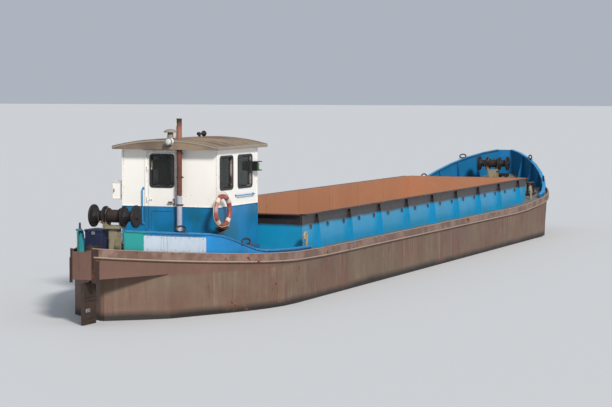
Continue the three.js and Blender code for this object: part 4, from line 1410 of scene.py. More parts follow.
places = stations(BOARD.aft, BOARD.fore, 10)
low, high, thick = BOARD.low, BOARD.high, BOARD.thick
face = [(-0.001, low), (thick, low), (thick, high), (-0.001, high)]
for side in build.mirrored():
    build.bar(starboard_path(places, BULWARK_INSET, lambda x: 0.0), face)
    for level in (low, high):
        bead = [
            (thick - 0.002, level - 0.01), (thick + 0.007, level - 0.006), (thick + 0.007, level + 0.006),
            (thick - 0.002, level + 0.01),
        ]
        build.bar(starboard_path(places, BULWARK_INSET, lambda x: 0.0), bead, finish=1)
    for x in stations(BOARD.aft + 0.08, BOARD.fore - 0.08, 4):
        for level in (low + 0.045, high - 0.045):
            place = Vector((x, -(deck_half(x) - BULWARK_INSET) - thick, deck_height(x) + level))
            build.turned(place, (-0.45, -0.89, 0), mm((-2, 10), (4, 9), (6, 4)), 1, sides=10)
build.done("blank_name_boards", [BOARD_PAINT, LIGHT_BLUE])

# %% [markdown]
# The tanks and peaks are entered by manholes: a plate held down by a ring of bolts, with two handles.

# %% Manholes
for side in build.mirrored():
    for x, y in ((-13.05, 0.92), (12.0, 0.95), (-9.9, 1.85)):
        centre = Vector((x, y, deck_height(x)))
        build.turned(centre, UP, mm(
            (-10, 240), (14, 240), (18, 236), (18, 215), (26, 212), (26, 20), (27, 2),
        ), sides=36)
        build.bolt_ring(centre + UP * 0.026, 0.19, 12, 0.012, 1)
        for shift in (-0.07, 0.07):
            foot = centre + Vector((shift, 0, 0.024))
            reach = Vector((0, 0.05, 0))
            build.staple(foot - reach, foot + reach, (0, 0, 0.046), 0.025, 0.007, 1, sides=6)
build.done("manhole_covers", [BLACK_PAINT, RUSTY])

# %% [markdown]
# Every tank breathes through a gooseneck pipe, bent over so that rain stays out, and is filled by a brass
# cap that is flush with the deck.

# %% Air pipes and filling caps
for side in build.mirrored():
    for x, y in ((-12.02, 1.02), (-8.85, 2.22), (11.25, 2.15)):
        z = deck_height(x)
        path = [(x, y, z - 0.01), (x, y, z + 0.36)]
        path += [(x - 0.07 * (1 - cos(a)), y, z + 0.36 + 0.07 * sin(a)) for a in stations(0, pi, 10)[1:]]
        path.append((x - 0.14, y, z + 0.3))
        build.tube(path, 0.038, sides=16)
        build.turned((x, y, z), UP, mm((-4, 75), (12, 75), (16, 40)))
        build.turned((x - 0.14, y, z + 0.3), -UP, mm((-30, 40), (-30, 48), (10, 48), (12, 30)))
build.done("air_pipes", [CREAM_PAINT])

for side in build.mirrored():
    for x in (-7.2, -2.8, 1.7, 6.1):
        centre = Vector((x, 2.36, deck_height(x)))
        build.turned(centre, UP, mm((-5, 85), (10, 85), (14, 72), (14, 60), (24, 56), (24, 2)))
        build.block(
            centre + Vector((-0.045, -0.008, 0.022)), centre + Vector((0.045, 0.008, 0.036)), edge=0.003,
        )
build.done("filling_caps", [BRASS])

# %% [markdown]
# A line leaves the barge through a fairlead on the bulwark's rail, which here is a closed chock: an oval
# ring on a foot that follows the rail.

# %% Fairleads
for side in build.mirrored():
    for x in (-13.6, -11.95, 13.0, 14.6):
        along = Vector((1, edge_slope(x), 0)).normalized()
        foot = Vector((x, deck_half(x) - BULWARK_INSET - 0.03, deck_height(x) + bulwark_height(x) + 0.016))
        ring = [
            foot + along * 0.13 * cos(a) + Vector((0, 0, 0.075 + 0.062 * sin(a)))
            for a in ring_angles(28)
        ]
        build.tube(ring, 0.021, sides=12, closed=True)
        square = [
            foot + along * a + Vector((along.y, -along.x, 0)) * b
            for a, b in ((-0.17, -0.04), (0.17, -0.04), (0.17, 0.04), (-0.17, 0.04))
        ]
        build.slab(square, (0, 0, 0.012))
build.done("fairleads", [BLACK_PAINT])

# %% [markdown]
# The hold's edge wears a round bar that the grab can't bend, and each bay under the rail has a lashing
# ring.

# %% Round the hold
aft, fore = HOLD.aft - 0.13, HOLD.fore + 0.13
out, z = HOLD.half + 0.13, HOLD.top - 0.014
for side in build.mirrored():
    build.tube([(HOLD.aft - 0.03, out, z), (HOLD.fore + 0.03, out, z)], 0.019, sides=12)
for x in (aft, fore):
    build.tube([(x, -HOLD.half, z), (x, HOLD.half, z)], 0.019, sides=12)
build.done("coaming_edge_bars", [RUSTY])

for side in build.mirrored():
    for i in range(17):
        x = -8.1 + 1.1125 * i
        wall = HOLD.half + 0.0295
        build.block((x - 0.035, wall, 2.3), (x + 0.035, wall + 0.012, 2.38), edge=0.003)
        ring = [(x + 0.045 * cos(a), wall + 0.022, 2.315 + 0.045 * sin(a)) for a in ring_angles(20)]
        build.tube(ring, 0.008, closed=True)
        build.tube(bent([
            (x, wall, 2.352), (x, wall + 0.034, 2.352), (x, wall + 0.034, 2.345), (x, wall, 2.33),
        ], 0.006), 0.006)
build.done("lashing_rings", [RUSTY])

# %% [markdown]
# Inside the hold, welded seams show every few metres, and rungs at both ends let the crew climb out.

# %% Inside the hold
half = HOLD.half
seams = [HOLD.aft + 2.45 * (i + 1) for i in range(7)]
for x in seams:
    for side in SIDES.values():
        y = side * half
        build.rod((x, y, 0), UP, 0.009, HOLD.floor, 2.62, sides=8)
    build.rod((x, 0, HOLD.floor), TO_PORT, 0.008, -half + 0.01, half - 0.01, sides=8)
for y in (-0.66, 0.66):
    build.rod((0, y, HOLD.floor), FORWARD, 0.008, HOLD.aft + 0.01, HOLD.fore - 0.01, sides=8)
for end, out in ((HOLD.aft, 0.11), (HOLD.fore, -0.11)):
    for z in stations(0.55, 2.35, 6):
        build.staple((end, -1.75, z), (end, -1.42, z), (out, 0, 0), 0.03, 0.011, 1)
build.done("hold_seams_and_rungs", [HOLD_PLATE, RUSTY])

# %% [markdown]
# The winches are what the crew's hands are on all day. The drum carries its wire in close turns between
# two flanges, and its ratchet wheel stands beside the cheek. The warping heads have whelps, raised bars
# that grip a rope. All of that turns with the drum, while the pawl and the foot stay on the frame.

# %% Winches
WINCHES = {
    "stern_winch": SimpleNamespace(centre=Vector((-14.3, 0, 2.9)), foot=0.2, side=0.1),
    "windlass": SimpleNamespace(centre=Vector((14.25, 0, 2.98)), foot=0.42, side=0.14),
}
WIRE = 0.014
WIRE_TURNS = 18


def make_drum_dressing(name, centre):
    wire = [(-0.128, 0.128)]
    for i in range(WIRE_TURNS):
        start = -0.126 + i * WIRE
        wire += [
            (start, 0.131), (start + 0.003, 0.1365), (start + WIRE / 2, 0.1385), (start + 0.011, 0.1365),
        ]
    wire.append((0.128, 0.128))
    build.turned(centre, TO_PORT, wire, 1, sides=36)
    for side in (-1, 1):
        axis = (0, side, 0)
        build.turned(centre, axis, mm(
            (129, 120), (129, 168), (133, 172), (139, 172), (143, 168), (143, 120),
        ), sides=36)
        build.turned(centre, axis, mm(
            (234, 200), (240, 160), (262, 126), (300, 113), (420, 113), (455, 128), (474, 165), (481, 215),
            (481.5, 100), (234, 100),
        ), sides=32, closed=True)
        for low, high, radius in ((0.198, 0.237, 0.213), (0.478, 0.522, 0.243)):
            build.turned(centre, axis, [
                (low, radius - 0.02), (low, radius - 0.004), (low + 0.005, radius), (high - 0.005, radius),
                (high, radius - 0.004), (high, radius - 0.02),
            ], sides=40)
        for a in ring_angles(6):
            out = Vector((cos(a), 0, sin(a)))
            across = Vector((-sin(a), 0, cos(a)))
            rib = []
            for along, radius in (
                (0.25, 0.148), (0.28, 0.128), (0.31, 0.122), (0.41, 0.122), (0.445, 0.136), (0.465, 0.16),
            ):
                middle = centre + Vector((0, side * along, 0))
                rib.append([
                    middle + out * (radius - 0.03) - across * 0.016, middle + out * radius - across * 0.011,
                    middle + out * radius + across * 0.011, middle + out * (radius - 0.03) + across * 0.016,
                ])
            build.skin(rib)
        build.turned(centre, axis, mm((520, 75), (534, 72), (538, 45), (556, 43), (560, 30), (561, 2)))
        for a in ring_angles(6):
            build.bolt(centre + Vector((0.058 * cos(a), side * 0.5355, 0.058 * sin(a))), axis, 0.009)
    teeth = []
    for a, b in zip(ring_angles(28), ring_angles(28, 0.9)):
        teeth += [(0.178 * cos(a), 0.178 * sin(a)), (0.194 * cos(b), 0.194 * sin(b))]
    build.plate(centre + TO_PORT * 0.184, teeth, 0.012)
    build.done(f"{name}_drum_dressing", [DARK_GEAR, GREASY_WIRE], body=name)


print("each drum carries", WIRE_TURNS, "turns of wire, all", round(WIRE_TURNS * WIRE, 2), "m across")

# %% [markdown]
# A winch's frame stands on a bolted plate, with gussets at its foot, bearing caps with grease cups at its
# top, and the pawl that drops into the ratchet wheel's teeth.

# %% Winch frames
def make_winch_frame_dressing(name, centre, foot, wide):
    deck = deck_height(centre.x)
    half = foot / 2
    x, z = centre.x, centre.z
    low = min(deck_height(x - half - 0.07), deck_height(x + half + 0.07))
    build.block(
        (x - half - 0.07, -wide - 0.07, low - 0.01), (x + half + 0.07, wide + 0.07, max(deck, low) + 0.032),
        edge=0.003,
    )
    top = max(deck, low) + 0.032
    for dx in (-half - 0.035, half + 0.035):
        for y in (-wide - 0.035, -wide / 2, wide / 2, wide + 0.035):
            build.bolt((x + dx, y, top), UP, 0.014, 1)
    for dx, out in ((-half, -1), (half, 1)):
        for y in (-wide * 0.72, wide * 0.72):
            gusset = [(0, 0), (out * 0.06, 0), (out * 0.012, 0.3), (0, 0.32)]
            build.plate((x + dx, y - 0.005, top), gusset, 0.01)
    for side in (-1, 1):
        y = side * 0.1805
        for dx in (-0.085, 0.085):
            build.rod((x + dx, side * 0.165, z - 0.2), UP, 0.011, 0.0, 0.03, 1, sides=10)
            build.bolt((x + dx, side * 0.165, z + 0.088), UP, 0.014, 1)
        build.turned((x, side * 0.165, z + 0.148), UP, mm(
            (0, 14), (10, 14), (12, 20), (34, 20), (38, 14), (39, 2),
        ), 2, sides=16)
        for dz in (-0.35, -0.55):
            if z + dz - 0.1 > top:
                build.block(
                    (x - half + 0.03, side * wide - 0.005, z + dz - 0.09),
                    (x + half - 0.03, side * wide + 0.005, z + dz + 0.05), edge=0.003,
                )
    build.rod((x - 0.235, 0.19, z - 0.13), TO_PORT, 0.016, -0.045, 0.02, 1, sides=12)
    pawl = mm((-250, -145), (-220, -145), (-196, -60), (-206, -55))
    build.plate((x, 0.184, z), pawl, 0.012, 1)
    seat = mm((-260, -220), (-150, -220), (-150, -190), (-220, -110), (-250, -110))
    build.plate((x, 0.15, z), seat, 0.012)
    build.tube(bent([
        (x - 0.235, 0.205, z - 0.13), (x - 0.3, 0.235, z - 0.1), (x - 0.34, 0.235, z + 0.1),
    ], 0.03), 0.009, 1)
    build.done(f"{name}_frame_dressing", [CREAM_PAINT, RUSTY, BRASS])


for winch_name, winch in WINCHES.items():
    make_drum_dressing(winch_name, winch.centre)
    make_winch_frame_dressing(winch_name, winch.centre, winch.foot, winch.side)

# %% [markdown]
# Beside the stern winch's foot stands a dark blue locker for shackles and spare wire. Its lid hinges at
# the fore edge, with a hasp aft and a lifting grip at each end.

# %% Stern locker
dress(NAVY_PAINT, "stern_locker")
aft, fore, low, high, top = -14.45, -13.95, 0.24, 0.64, 2.6
build.block((aft - 0.015, low - 0.015, top - 0.035), (fore + 0.015, high + 0.015, top + 0.012), edge=0.006)
for y in (low + 0.1, high - 0.1):
    build.rod((fore + 0.022, y, top - 0.012), TO_PORT, 0.009, -0.035, 0.035, 1, sides=10)
build.block((aft - 0.022, 0.4, top - 0.1), (aft - 0.002, 0.48, top - 0.03), 1, edge=0.003)
for y, out in ((low, -1), (high, 1)):
    build.staple((-14.27, y, 2.42), (-14.13, y, 2.42), (0, out * 0.045, 0), 0.015, 0.007, 1)
build.done("stern_locker_lid", [NAVY_PAINT, ZINC])

# %% [markdown]
# Bollards are pipe with a plate on top, so the jackets here are properly round, polished a little where
# the lines run, with a weld bead at the foot and bolts in the base.

# %% Bollards
for x, half in ((-12.5, 1.35), (12.3, 1.85)):
    for side in SIDES.values():
        y = side * half
        deck = deck_height(x)
        for dx in (-0.19, 0.19):
            post = Vector((x + dx, y, deck))
            build.turned(post, UP, mm(
                (46, 98), (56, 96), (62, 86), (70, 82.5), (355, 82.5), (366, 90), (369, 101), (374, 103.5),
                (402, 103.5), (410, 100), (416.5, 70), (418.5, 4),
            ), sides=32)
        for dx in (-0.295, 0, 0.295):
            for dy in (-0.105, 0.105):
                build.bolt((x + dx, y + dy, deck + 0.05), UP, 0.013, 1)
build.done("bollard_jackets", [BLACK_PAINT, RUSTY])

# %% [markdown]
# The hatch lids are trodden on, so they are chequered plate: short raised bars, each row turned against the
# next. The lids have lips over the frame's sides, lifting handles and butterfly nuts, and hinge straps. All
# of that lifts with the lid.

# %% Hatch lids
HATCHES = {
    "engine_hatch": SimpleNamespace(aft=-13.5, fore=-12.7, half=0.4, top=2.2),
    "forepeak_hatch": SimpleNamespace(aft=12.59, fore=13.31, half=0.36, top=2.4),
}


def make_lid_dressing(name, hatch):
    aft, fore, half, top = hatch.aft, hatch.fore, hatch.half, hatch.top + 0.04
    columns = round((fore - aft) / 0.055)
    rows = round(2 * half / 0.055)
    for i in range(columns):
        for j in range(rows):
            x = aft + (fore - aft) * (i + 0.5) / columns
            y = half * (2 * (j + 0.5) / rows - 1)
            turn = 1 if (i + j) % 2 else -1
            long_way = Vector((0.7071, 0.7071 * turn, 0)) * 0.018
            short_way = Vector((-0.7071 * turn, 0.7071, 0)) * 0.005
            place = Vector((x, y, top - 0.0005))
            base = [place - long_way, place - short_way, place + long_way, place + short_way]
            rise = UP * 0.003
            ridge = [
                place - long_way * 0.7 + rise, place - short_way * 0.5 + rise,
                place + long_way * 0.7 + rise, place + short_way * 0.5 + rise,
            ]
            build.skin([base, ridge])
    edge = half + 0.02
    lip = mm((-1, -75), (9, -75), (9, 2), (4, 6), (-12, 6), (-12, -1), (-1, -1))
    build.bar([
        (fore - 0.05, -edge, top), (aft - 0.02, -edge, top), (aft - 0.02, edge, top),
        (fore - 0.05, edge, top),
    ], lip)
    for y in (-0.22, 0.22):
        build.block(
            (fore - 0.17, y - 0.035, top - 0.001), (fore + 0.02, y + 0.035, top + 0.007), 1, edge=0.002,
        )
        for dx in (-0.14, -0.09, -0.04):
            build.bolt((fore + dx, y, top + 0.007), UP, 0.009, 1)
        foot = Vector((aft + 0.1, y, top - 0.002))
        reach = Vector((0, 0.07, 0))
        build.staple(foot - reach, foot + reach, (0, 0, 0.057), 0.02, 0.009, 1)
    for y in (-0.3, 0.0, 0.3):
        place = Vector((aft + 0.03, y, top))
        build.turned(place, UP, mm((-1, 18), (6, 18), (8, 10), (35, 9), (36, 2)), 1, sides=12)
        for turn in (-1, 1):
            build.slab([
                place + Vector((0.003, turn * 0.006, 0.01)), place + Vector((0.003, turn * 0.036, 0.026)),
                place + Vector((0.003, turn * 0.034, 0.04)), place + Vector((0.003, turn * 0.006, 0.028)),
            ], (-0.006, 0, 0), 1)
    build.done(f"{name}_lid_dressing", [GREY_PAINT, ZINC], body=name)


for hatch_name, hatch in HATCHES.items():
    make_lid_dressing(hatch_name, hatch)

# %% [markdown]
# The fixed knuckles of the hinges, their pins and the beads round the frames stay behind when a lid lifts.

# %% Hatch frames
for hatch in HATCHES.values():
    fore, top, half = hatch.fore, hatch.top, hatch.half
    pin = Vector((fore + 0.03, 0, top + 0.03))
    for side in (-1, 1):
        for y in (0.144, 0.296):
            place = pin + Vector((0, side * y, 0))
            build.rod(place, TO_PORT, 0.022, -0.022, 0.022, sides=16)
            lug = mm((1, -90), (14, -90), (45, 18), (15, 18), (1, -8))
            build.plate((fore, place.y - 0.014, top), lug, 0.028)
        build.rod(pin + Vector((0, side * 0.22, 0)), TO_PORT, 0.01, -0.112, 0.112, 1, sides=12)
    bead = mm((-1, -12), (8, -10), (8, 10), (-1, 12))
    corners = [(hatch.aft, -half), (fore, -half), (fore, half), (hatch.aft, half)]
    build.bar([(x, y, top - 0.05) for x, y in corners], bead, closed=True)
    build.bar([
        (x, y, deck_height(hatch.aft if x == hatch.aft else fore) + 0.006)
        for x, y in corners
    ], mm((-2, -12), (14, -12), (-2, 12)), closed=True)
build.done("hatch_hinges_and_beads", [BLUE_STEEL, ZINC])

# %% [markdown]
# A propeller blade is a screw surface: near the hub it stands steeply, and towards the tip it lies almost
# flat in the disc. Each blade is a row of thin wing sections, every one turned to the pitch angle of its
# radius, so the twist comes by itself. It is bronze, dull from the river.

# %% Propeller
PROPELLER = SimpleNamespace(centre=Vector((-15.0, 0, 0.45)), tip=0.338, hub=0.072, pitch=0.46, blades=4)


def blade_section(radius, turn):
    """One wing section of a blade, wrapped round the cylinder of its radius."""
    share = (radius - 0.05) / (PROPELLER.tip - 0.05)
    chord = 0.105 + 0.13 * sin(pi * min(1.0, share * 0.92 + 0.05)) ** 0.9
    chord *= sqrt(max(0.0, 1 - max(0.0, (share - 0.72) / 0.28) ** 2.4)) + 0.04
    thick = 0.02 * (1 - share) + 0.005
    angle = atan2(PROPELLER.pitch, tau * radius)
    rake = 0.05 * share * chord
    upper, lower = [], []
    for i in range(9):
        along = -cos(pi * i / 8) / 2
        bow = (1 - 4 * along * along)
        for side, rows in ((1, upper), (-1, lower)):
            s = along * chord + rake
            n = side * thick * 0.5 * sqrt(max(0.0, bow)) + 0.012 * bow * chord
            axial = s * sin(angle) + n * cos(angle)
            around = turn + (s * cos(angle) - n * sin(angle)) / radius
            rows.append(PROPELLER.centre + Vector((axial, radius * cos(around), radius * sin(around))))
    return upper + lower[-2:0:-1]


centre = PROPELLER.centre
build.turned(centre, AFTWARD, mm(
    (-99.5, 55), (-99.5, 70), (-92, 75), (45, 66), (50, 46), (68, 45), (72, 38), (87, 22), (90, 2),
), sides=36)
build.turned(centre, FORWARD, mm((20, 36), (98.5, 40), (600, 40), (2850, 40)), 1, sides=20)
for turn in ring_angles(PROPELLER.blades, 0.5):
    radii = [0.05, 0.075, 0.1, 0.13, 0.165, 0.2, 0.235, 0.265, 0.29, 0.31, 0.325, 0.334, PROPELLER.tip]
    build.skin([blade_section(radius, turn) for radius in radii])
screw = build.done("bronze_propeller", [BRONZE, ZINC], body="propeller")
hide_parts("propeller")

# %% [markdown]
# The rudder is one plate with stiffeners across it, an arm down its leading edge and zinc blocks that rust
# in its place. Its tiller ends in a pin and shackle for the steering gear. These all turn with it.

# %% Rudder
for side in build.mirrored():
    for z in (0.35, 0.8, 1.25):
        build.skin([
            [(x, 0.024, z - foot), (x, out, z - top), (x, out, z + top), (x, 0.024, z + foot)]
            for x, out, foot, top in (
                (-15.775, 0.034, 0.02, 0.018), (-15.42, 0.052, 0.035, 0.03), (-15.25, 0.046, 0.035, 0.03),
            )
        ])
    for x, z in ((-15.62, 0.57), (-15.62, 1.02)):
        build.block((x - 0.09, 0.024, z - 0.04), (x + 0.09, 0.05, z + 0.04), 1, edge=0.008)
        for dx in (-0.06, 0.06):
            build.bolt((x + dx, 0.05, z), TO_PORT, 0.008)
build.bar([(-15.79, 0, 0.13), (-15.79, 0, 1.58)], mm((-30, -4), (30, -4), (30, 6), (-30, 6)), up=AFTWARD)
build.turned((-15.4, 0, 2.34), UP, mm((0, 60), (12, 58), (16, 44), (34, 42), (38, 30), (39, 2)), 2, sides=6)
build.rod((-15.035, 0, 2.33), UP, 0.018, -0.02, 0.045, 2, sides=14)
build.turned((-15.035, 0, 2.331), UP, mm((0, 28), (8, 28), (10, 18)), 2, sides=16)
shackle = [(-15.035 + 0.06 * cos(a), 0.04 * sin(a), 2.355) for a in ring_angles(24)]
build.tube(shackle, 0.008, 2, closed=True)
build.done("rudder_stiffeners_and_zincs", [WET_RUST, ZINC, DARK_GEAR], body="rudder")

# %% [markdown]
# The helm is the one spot of joinery on the barge. The wheel is turned wood: a rim, a hub with a brass cap,
# and six spokes that run through the rim and end as handles. One turned profile serves all six.

# %% Helm wheel
HELM = Vector((-9.93, 0, 2.86))
SPOKE = mm(
    (40, 11), (70, 11), (78, 16), (98, 18), (118, 12), (140, 10), (200, 13.5), (260, 10), (272, 14),
    (325, 14), (332, 9), (345, 13), (368, 16.5), (384, 12), (389, 3),
)

rim = mm((-12, 278), (12, 278), (20, 286), (20, 314), (12, 322), (-12, 322), (-20, 314), (-20, 286))
build.turned(HELM, FORWARD, rim, sides=72, closed=True)
for radius in (0.291, 0.309):
    inlay = [
        (-0.019, radius - 0.003), (-0.019, radius + 0.003), (-0.0212, radius + 0.002),
        (-0.0212, radius - 0.002),
    ]
    build.turned(HELM, FORWARD, inlay, 1, sides=72, closed=True)
for a in ring_angles(6):
    spoke = Vector((0, sin(a), cos(a)))
    build.turned(HELM, spoke, SPOKE, sides=14)
    build.turned(HELM + spoke * 0.3, AFTWARD, mm((18, 8), (22.5, 7), (23.5, 2)), 1, sides=10)
build.turned(HELM, AFTWARD, mm((-30, 45), (-30, 55), (-22, 60), (18, 60), (26, 54), (28, 40)), sides=32)
build.turned(HELM, AFTWARD, mm(
    (25, 46), (31, 45), (35, 36), (37, 18), (46, 16), (50, 10), (51, 1),
), 1, sides=32)
build.turned(HELM, FORWARD, mm((20, 20), (168, 20)), 1, sides=20)
wheel = build.done("turned_helm_wheel", [WHEEL_WOOD, BRASS], body="helm")
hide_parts("helm_wheel")

# %% [markdown]
# Behind the wheel the console carries a sloping box of round instruments, a compass under its dome, and
# the engine's two levers. A dial is a brass bezel, a white face, a ring of marks and a needle.

# %% Console
def dial(centre, axis, radius, needle):
    """An instrument with its face along the axis; needle is its angle in degrees from straight up."""
    axis = Vector(axis).normalized()
    right = TO_PORT.cross(axis).cross(axis).normalized()
    up = axis.cross(right)
    build.turned(centre, axis, [
        (-0.004, radius), (0.006, radius), (0.01, radius * 0.94), (0.01, radius * 0.86),
        (0.005, radius * 0.84), (0.003, radius * 0.84),
    ], 1, sides=32)
    build.turned(centre, axis, [(0.0032, radius * 0.85), (0.0036, 0.001)], 2, sides=32)
    for i in range(13):
        a = radians(-135 + 22.5 * i)
        out = right * sin(a) + up * cos(a)
        side = axis.cross(out) * 0.0012
        low, high = out * radius * (0.6 if i % 3 == 0 else 0.68), out * radius * 0.78
        build.slab([
            centre + axis * 0.0034 + p
            for p in (low - side, low + side, high + side, high - side)
        ], axis * 0.0008, 3)
    a = radians(needle)
    out = right * sin(a) + up * cos(a)
    side = axis.cross(out) * 0.002
    build.slab([
        centre + axis * 0.0045 + p
        for p in (-out * 0.01 - side, -out * 0.01 + side, out * radius * 0.7)
    ], axis * 0.001, 4)


aft = -9.8202
pod = [(-9.8, 2.998), (-9.8, 3.02), (-9.715, 3.15), (-9.52, 3.15), (-9.5, 3.13), (-9.5, 2.998)]
build.skin([[(x, y, z) for x, z in pod] for y in (-0.47, 0.47)])
tilt = Vector((-0.13, 0, 0.085)).normalized()
for y, radius, needle in (
    (-0.36, 0.052, -60), (-0.22, 0.052, 35), (-0.09, 0.04, 10), (0.22, 0.052, -20), (0.36, 0.052, 80),
):
    dial(Vector((-9.7575, y, 3.085)), tilt, radius, needle)
for i in range(5):
    place = Vector((-9.7575, 0.04 + 0.025 * i, 3.085))
    build.turned(place, tilt, mm((0, 8), (3, 8), (4, 4), (18, 3), (19, 1)), 1, sides=10)
build.turned((-9.61, 0, 3.15), UP, mm(
    (-2, 85), (12, 85), (18, 70), (50, 70), (56, 66), (58, 60),
), 1, sides=32)
build.turned((-9.61, 0, 3.15), UP, mm((54, 62), (72, 56), (88, 40), (96, 18), (98, 1)), 5, sides=32)
panel = mm((-4, -1), (-4, 3), (4, 10), (22, 10), (28, -1))
for low, high, knob in ((-0.47, -0.04, -0.085), (0.04, 0.47, 0.085)):
    moulding((low, 2.06, high, 2.62), 0.01, panel, on_back(aft))
    build.turned((aft, knob, 2.36), AFTWARD, mm((0, 9), (10, 7), (18, 14), (26, 12), (28, 1)), 1, sides=16)
build.block((aft - 0.045, -0.495, 2.72), (aft + 0.002, -0.405, 2.9), 3, edge=0.008)
for y, lean in ((-0.47, -0.35), (-0.43, 0.2)):
    foot = Vector((aft - 0.022, y, 2.895))
    tip = foot + Vector((-sin(lean) * 0.13 - 0.01, 0, cos(lean) * 0.13))
    build.tube([foot, tip], 0.005, 1)
    build.turned(tip, tip - foot, mm((-12, 6), (-8, 14), (4, 17), (14, 12), (18, 2)), 4, sides=16)
top = mm((-1, -22), (12, -18), (14, 0), (12, 4), (-1, 4))
build.bar([(-9.4, -0.52, 3.0), (aft, -0.52, 3.0), (aft, 0.52, 3.0), (-9.4, 0.52, 3.0)][::-1], top)
build.done(
    "console_instruments_and_levers", [CONSOLE_WOOD, BRASS, BUOY_WHITE, RUBBER, BUOY_RED, CLEAR_LENS],
)

# %% [markdown]
# The helmsman's seat is a round leather pad on an iron pedestal. A sewn round pad is pulled down along its
# seams and swells between them, so its height is a crown with a groove at every seam, and its rim is
# tucked in under a cord of piping. At this size a curve in code gives that as well as a cloth run does.

# %% Seat
SEAT = Vector((-10.55, 0, 2.54))
PAD_SEAMS = 8


def pad_point(turn, share, upper):
    """A point of the pad: share 0 at its middle, 1 at its widest."""
    groove = abs(cos(PAD_SEAMS * turn / 2)) ** 14
    radius = 0.187 * share * (1 - 0.014 * groove * share)
    if upper:
        crown = 0.044 * sqrt(max(0.0, 1 - share ** 4)) + 0.012 * (1 - share ** 2)
        height = 0.034 + crown * (1 - 0.22 * groove * sin(pi * min(1, share * 1.05)))
        height -= 0.014 * exp(-(share / 0.09) ** 2)
    else:
        height = 0.034 - 0.03 * sqrt(max(0.0, 1 - share ** 6))
    return SEAT + polar(radius, turn, height)


turns = ring_angles(96)
rings = [(0.02, True), (0.06, True), (0.12, True)] + [(0.12 + 0.8 * i / 9, True) for i in range(1, 10)]
rings += [
    (0.96, True), (0.985, True), (1.0, True), (0.985, False), (0.94, False), (0.8, False), (0.3, False),
]
build.skin([[pad_point(turn, share, upper) for turn in turns] for share, upper in rings])
piping = [SEAT + polar(0.188, turn, 0.034) for turn in turns]
build.tube(piping, 0.0045, closed=True)
build.turned(SEAT + UP * 0.068, UP, mm((-10, 12), (4, 13), (8, 9), (9, 1)), sides=16)
pad = build.done("seat_pad", [LEATHER], angle=60)
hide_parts("helm_seat")

# %% [markdown]
# The pedestal is one turned profile, from the flange on the floor to the dish under the pad, with a clamp
# screw that sets its height.

# %% Seat pedestal
build.turned((SEAT.x, 0, 1.9803), UP, mm(
    (0, 160), (10, 160), (20, 150), (30, 70), (60, 44), (290, 36), (300, 45), (335, 45), (345, 32),
    (500, 30), (530, 80), (550, 125), (562.5, 130), (562.7, 20),
), sides=32)
build.bolt_ring((SEAT.x, 0, 1.995), 0.125, 6, 0.009, 1, shift=0.5)
build.tube([(SEAT.x, 0.04, 2.298), (SEAT.x, 0.11, 2.298)], 0.006, 1)
build.turned((SEAT.x, 0.11, 2.298), TO_PORT, mm((0, 6), (4, 14), (20, 14), (25, 6), (26, 1)), sides=14)
pedestal = build.done("seat_pedestal", [BLACK_PAINT, ZINC])
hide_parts("helm_seat")

# %% [markdown]
# The rest of the cabin is plain: a ribbed mat, a chart shelf under the port windows and a bulkhead lamp.
# They show through the glass and through the open door.

# %% Cabin
build.block((-11.35, -0.56, 1.9805), (-9.95, 0.56, 1.989), edge=0.003)
for i in range(27):
    x = -11.3 + 0.05 * i
    build.block((x - 0.01, -0.54, 1.988), (x + 0.01, 0.54, 1.994), edge=0.002)
build.block((-11.25, 0.8, 2.98), (-9.9, 1.148, 3.005), 1)
build.block((-11.25, 0.79, 2.975), (-9.9, 0.802, 3.03), 1, edge=0.003)
for x in (-11.1, -10.55, -10.05):
    build.slab([(x, 1.149, 2.98), (x, 0.86, 2.98), (x, 1.149, 2.74)], (0.022, 0, 0), 1)
ceiling_lamp = (-10.5, 0, 4.2402)
build.turned(ceiling_lamp, -UP, mm((0, 100), (12, 100), (20, 85)), 2, sides=32)
build.turned(ceiling_lamp, -UP, mm((18, 80), (45, 70), (65, 45), (72, 2)), 3, sides=32)
build.done("cabin_mat_shelf_and_lamp", [RUBBER, CONSOLE_WOOD, ZINC, CLEAR_LENS])

# %% [markdown]
# Below deck there is a six-cylinder engine: rocker boxes on top, manifolds at its sides, a gearbox aft and
# pulleys forward. The shaft runs aft through a bearing. All of it shows only when the lid is up, so it is
# kept to the shapes that an engine is read by.

# %% Engine
for i in range(6):
    x = -11.76 + 0.24 * i
    build.block((x - 0.1, -0.13, 1.298), (x + 0.1, 0.13, 1.372), edge=0.014)
    build.bolt((x, 0, 1.372), UP, 0.012, 1)
    build.tube(bent([(x, -0.4, 1.16), (x, -0.47, 1.16), (x, -0.5, 1.1)], 0.03), 0.03, 2, sides=12)
    build.tube(bent([(x, 0.4, 1.2), (x, 0.46, 1.2), (x, 0.48, 1.14)], 0.03), 0.026, 1, sides=12)
    build.tube(bent([
        (x + 0.04, 0.13, 1.33), (x + 0.04, 0.3, 1.36), (x + 0.04, 0.43, 0.95),
    ], 0.05), 0.005, 1, sides=6)
    build.block((x - 0.045, 0.398, 0.86), (x + 0.045, 0.43, 0.96), 1, edge=0.006)
build.tube([(-11.86, -0.52, 1.08), (-10.48, -0.52, 1.08)], 0.055, 2, sides=16)
build.tube([(-11.84, 0.5, 1.12), (-10.5, 0.5, 1.12)], 0.045, 1, sides=16)
build.tube(bent([
    (-11.8, -0.52, 1.08), (-11.96, -0.52, 1.08), (-11.96, -0.3, 1.3), (-11.72, -0.3, 1.45),
    (-11.72, -0.3, 1.8),
], 0.09), 0.055, 2, sides=16)
build.turned((-10.95, 0.3, 1.3), UP, mm((0, 30), (30, 30), (40, 85), (180, 85), (200, 70), (205, 10)), 3)
build.turned((-11.9, 0, 0.66), AFTWARD, mm(
    (-10, 300), (50, 300), (70, 250), (220, 210), (260, 190), (270, 60),
))
build.turned((-12.08, 0, 0.45), AFTWARD, mm((-20, 85), (100, 85), (105, 95), (130, 95), (135, 42)), 1)
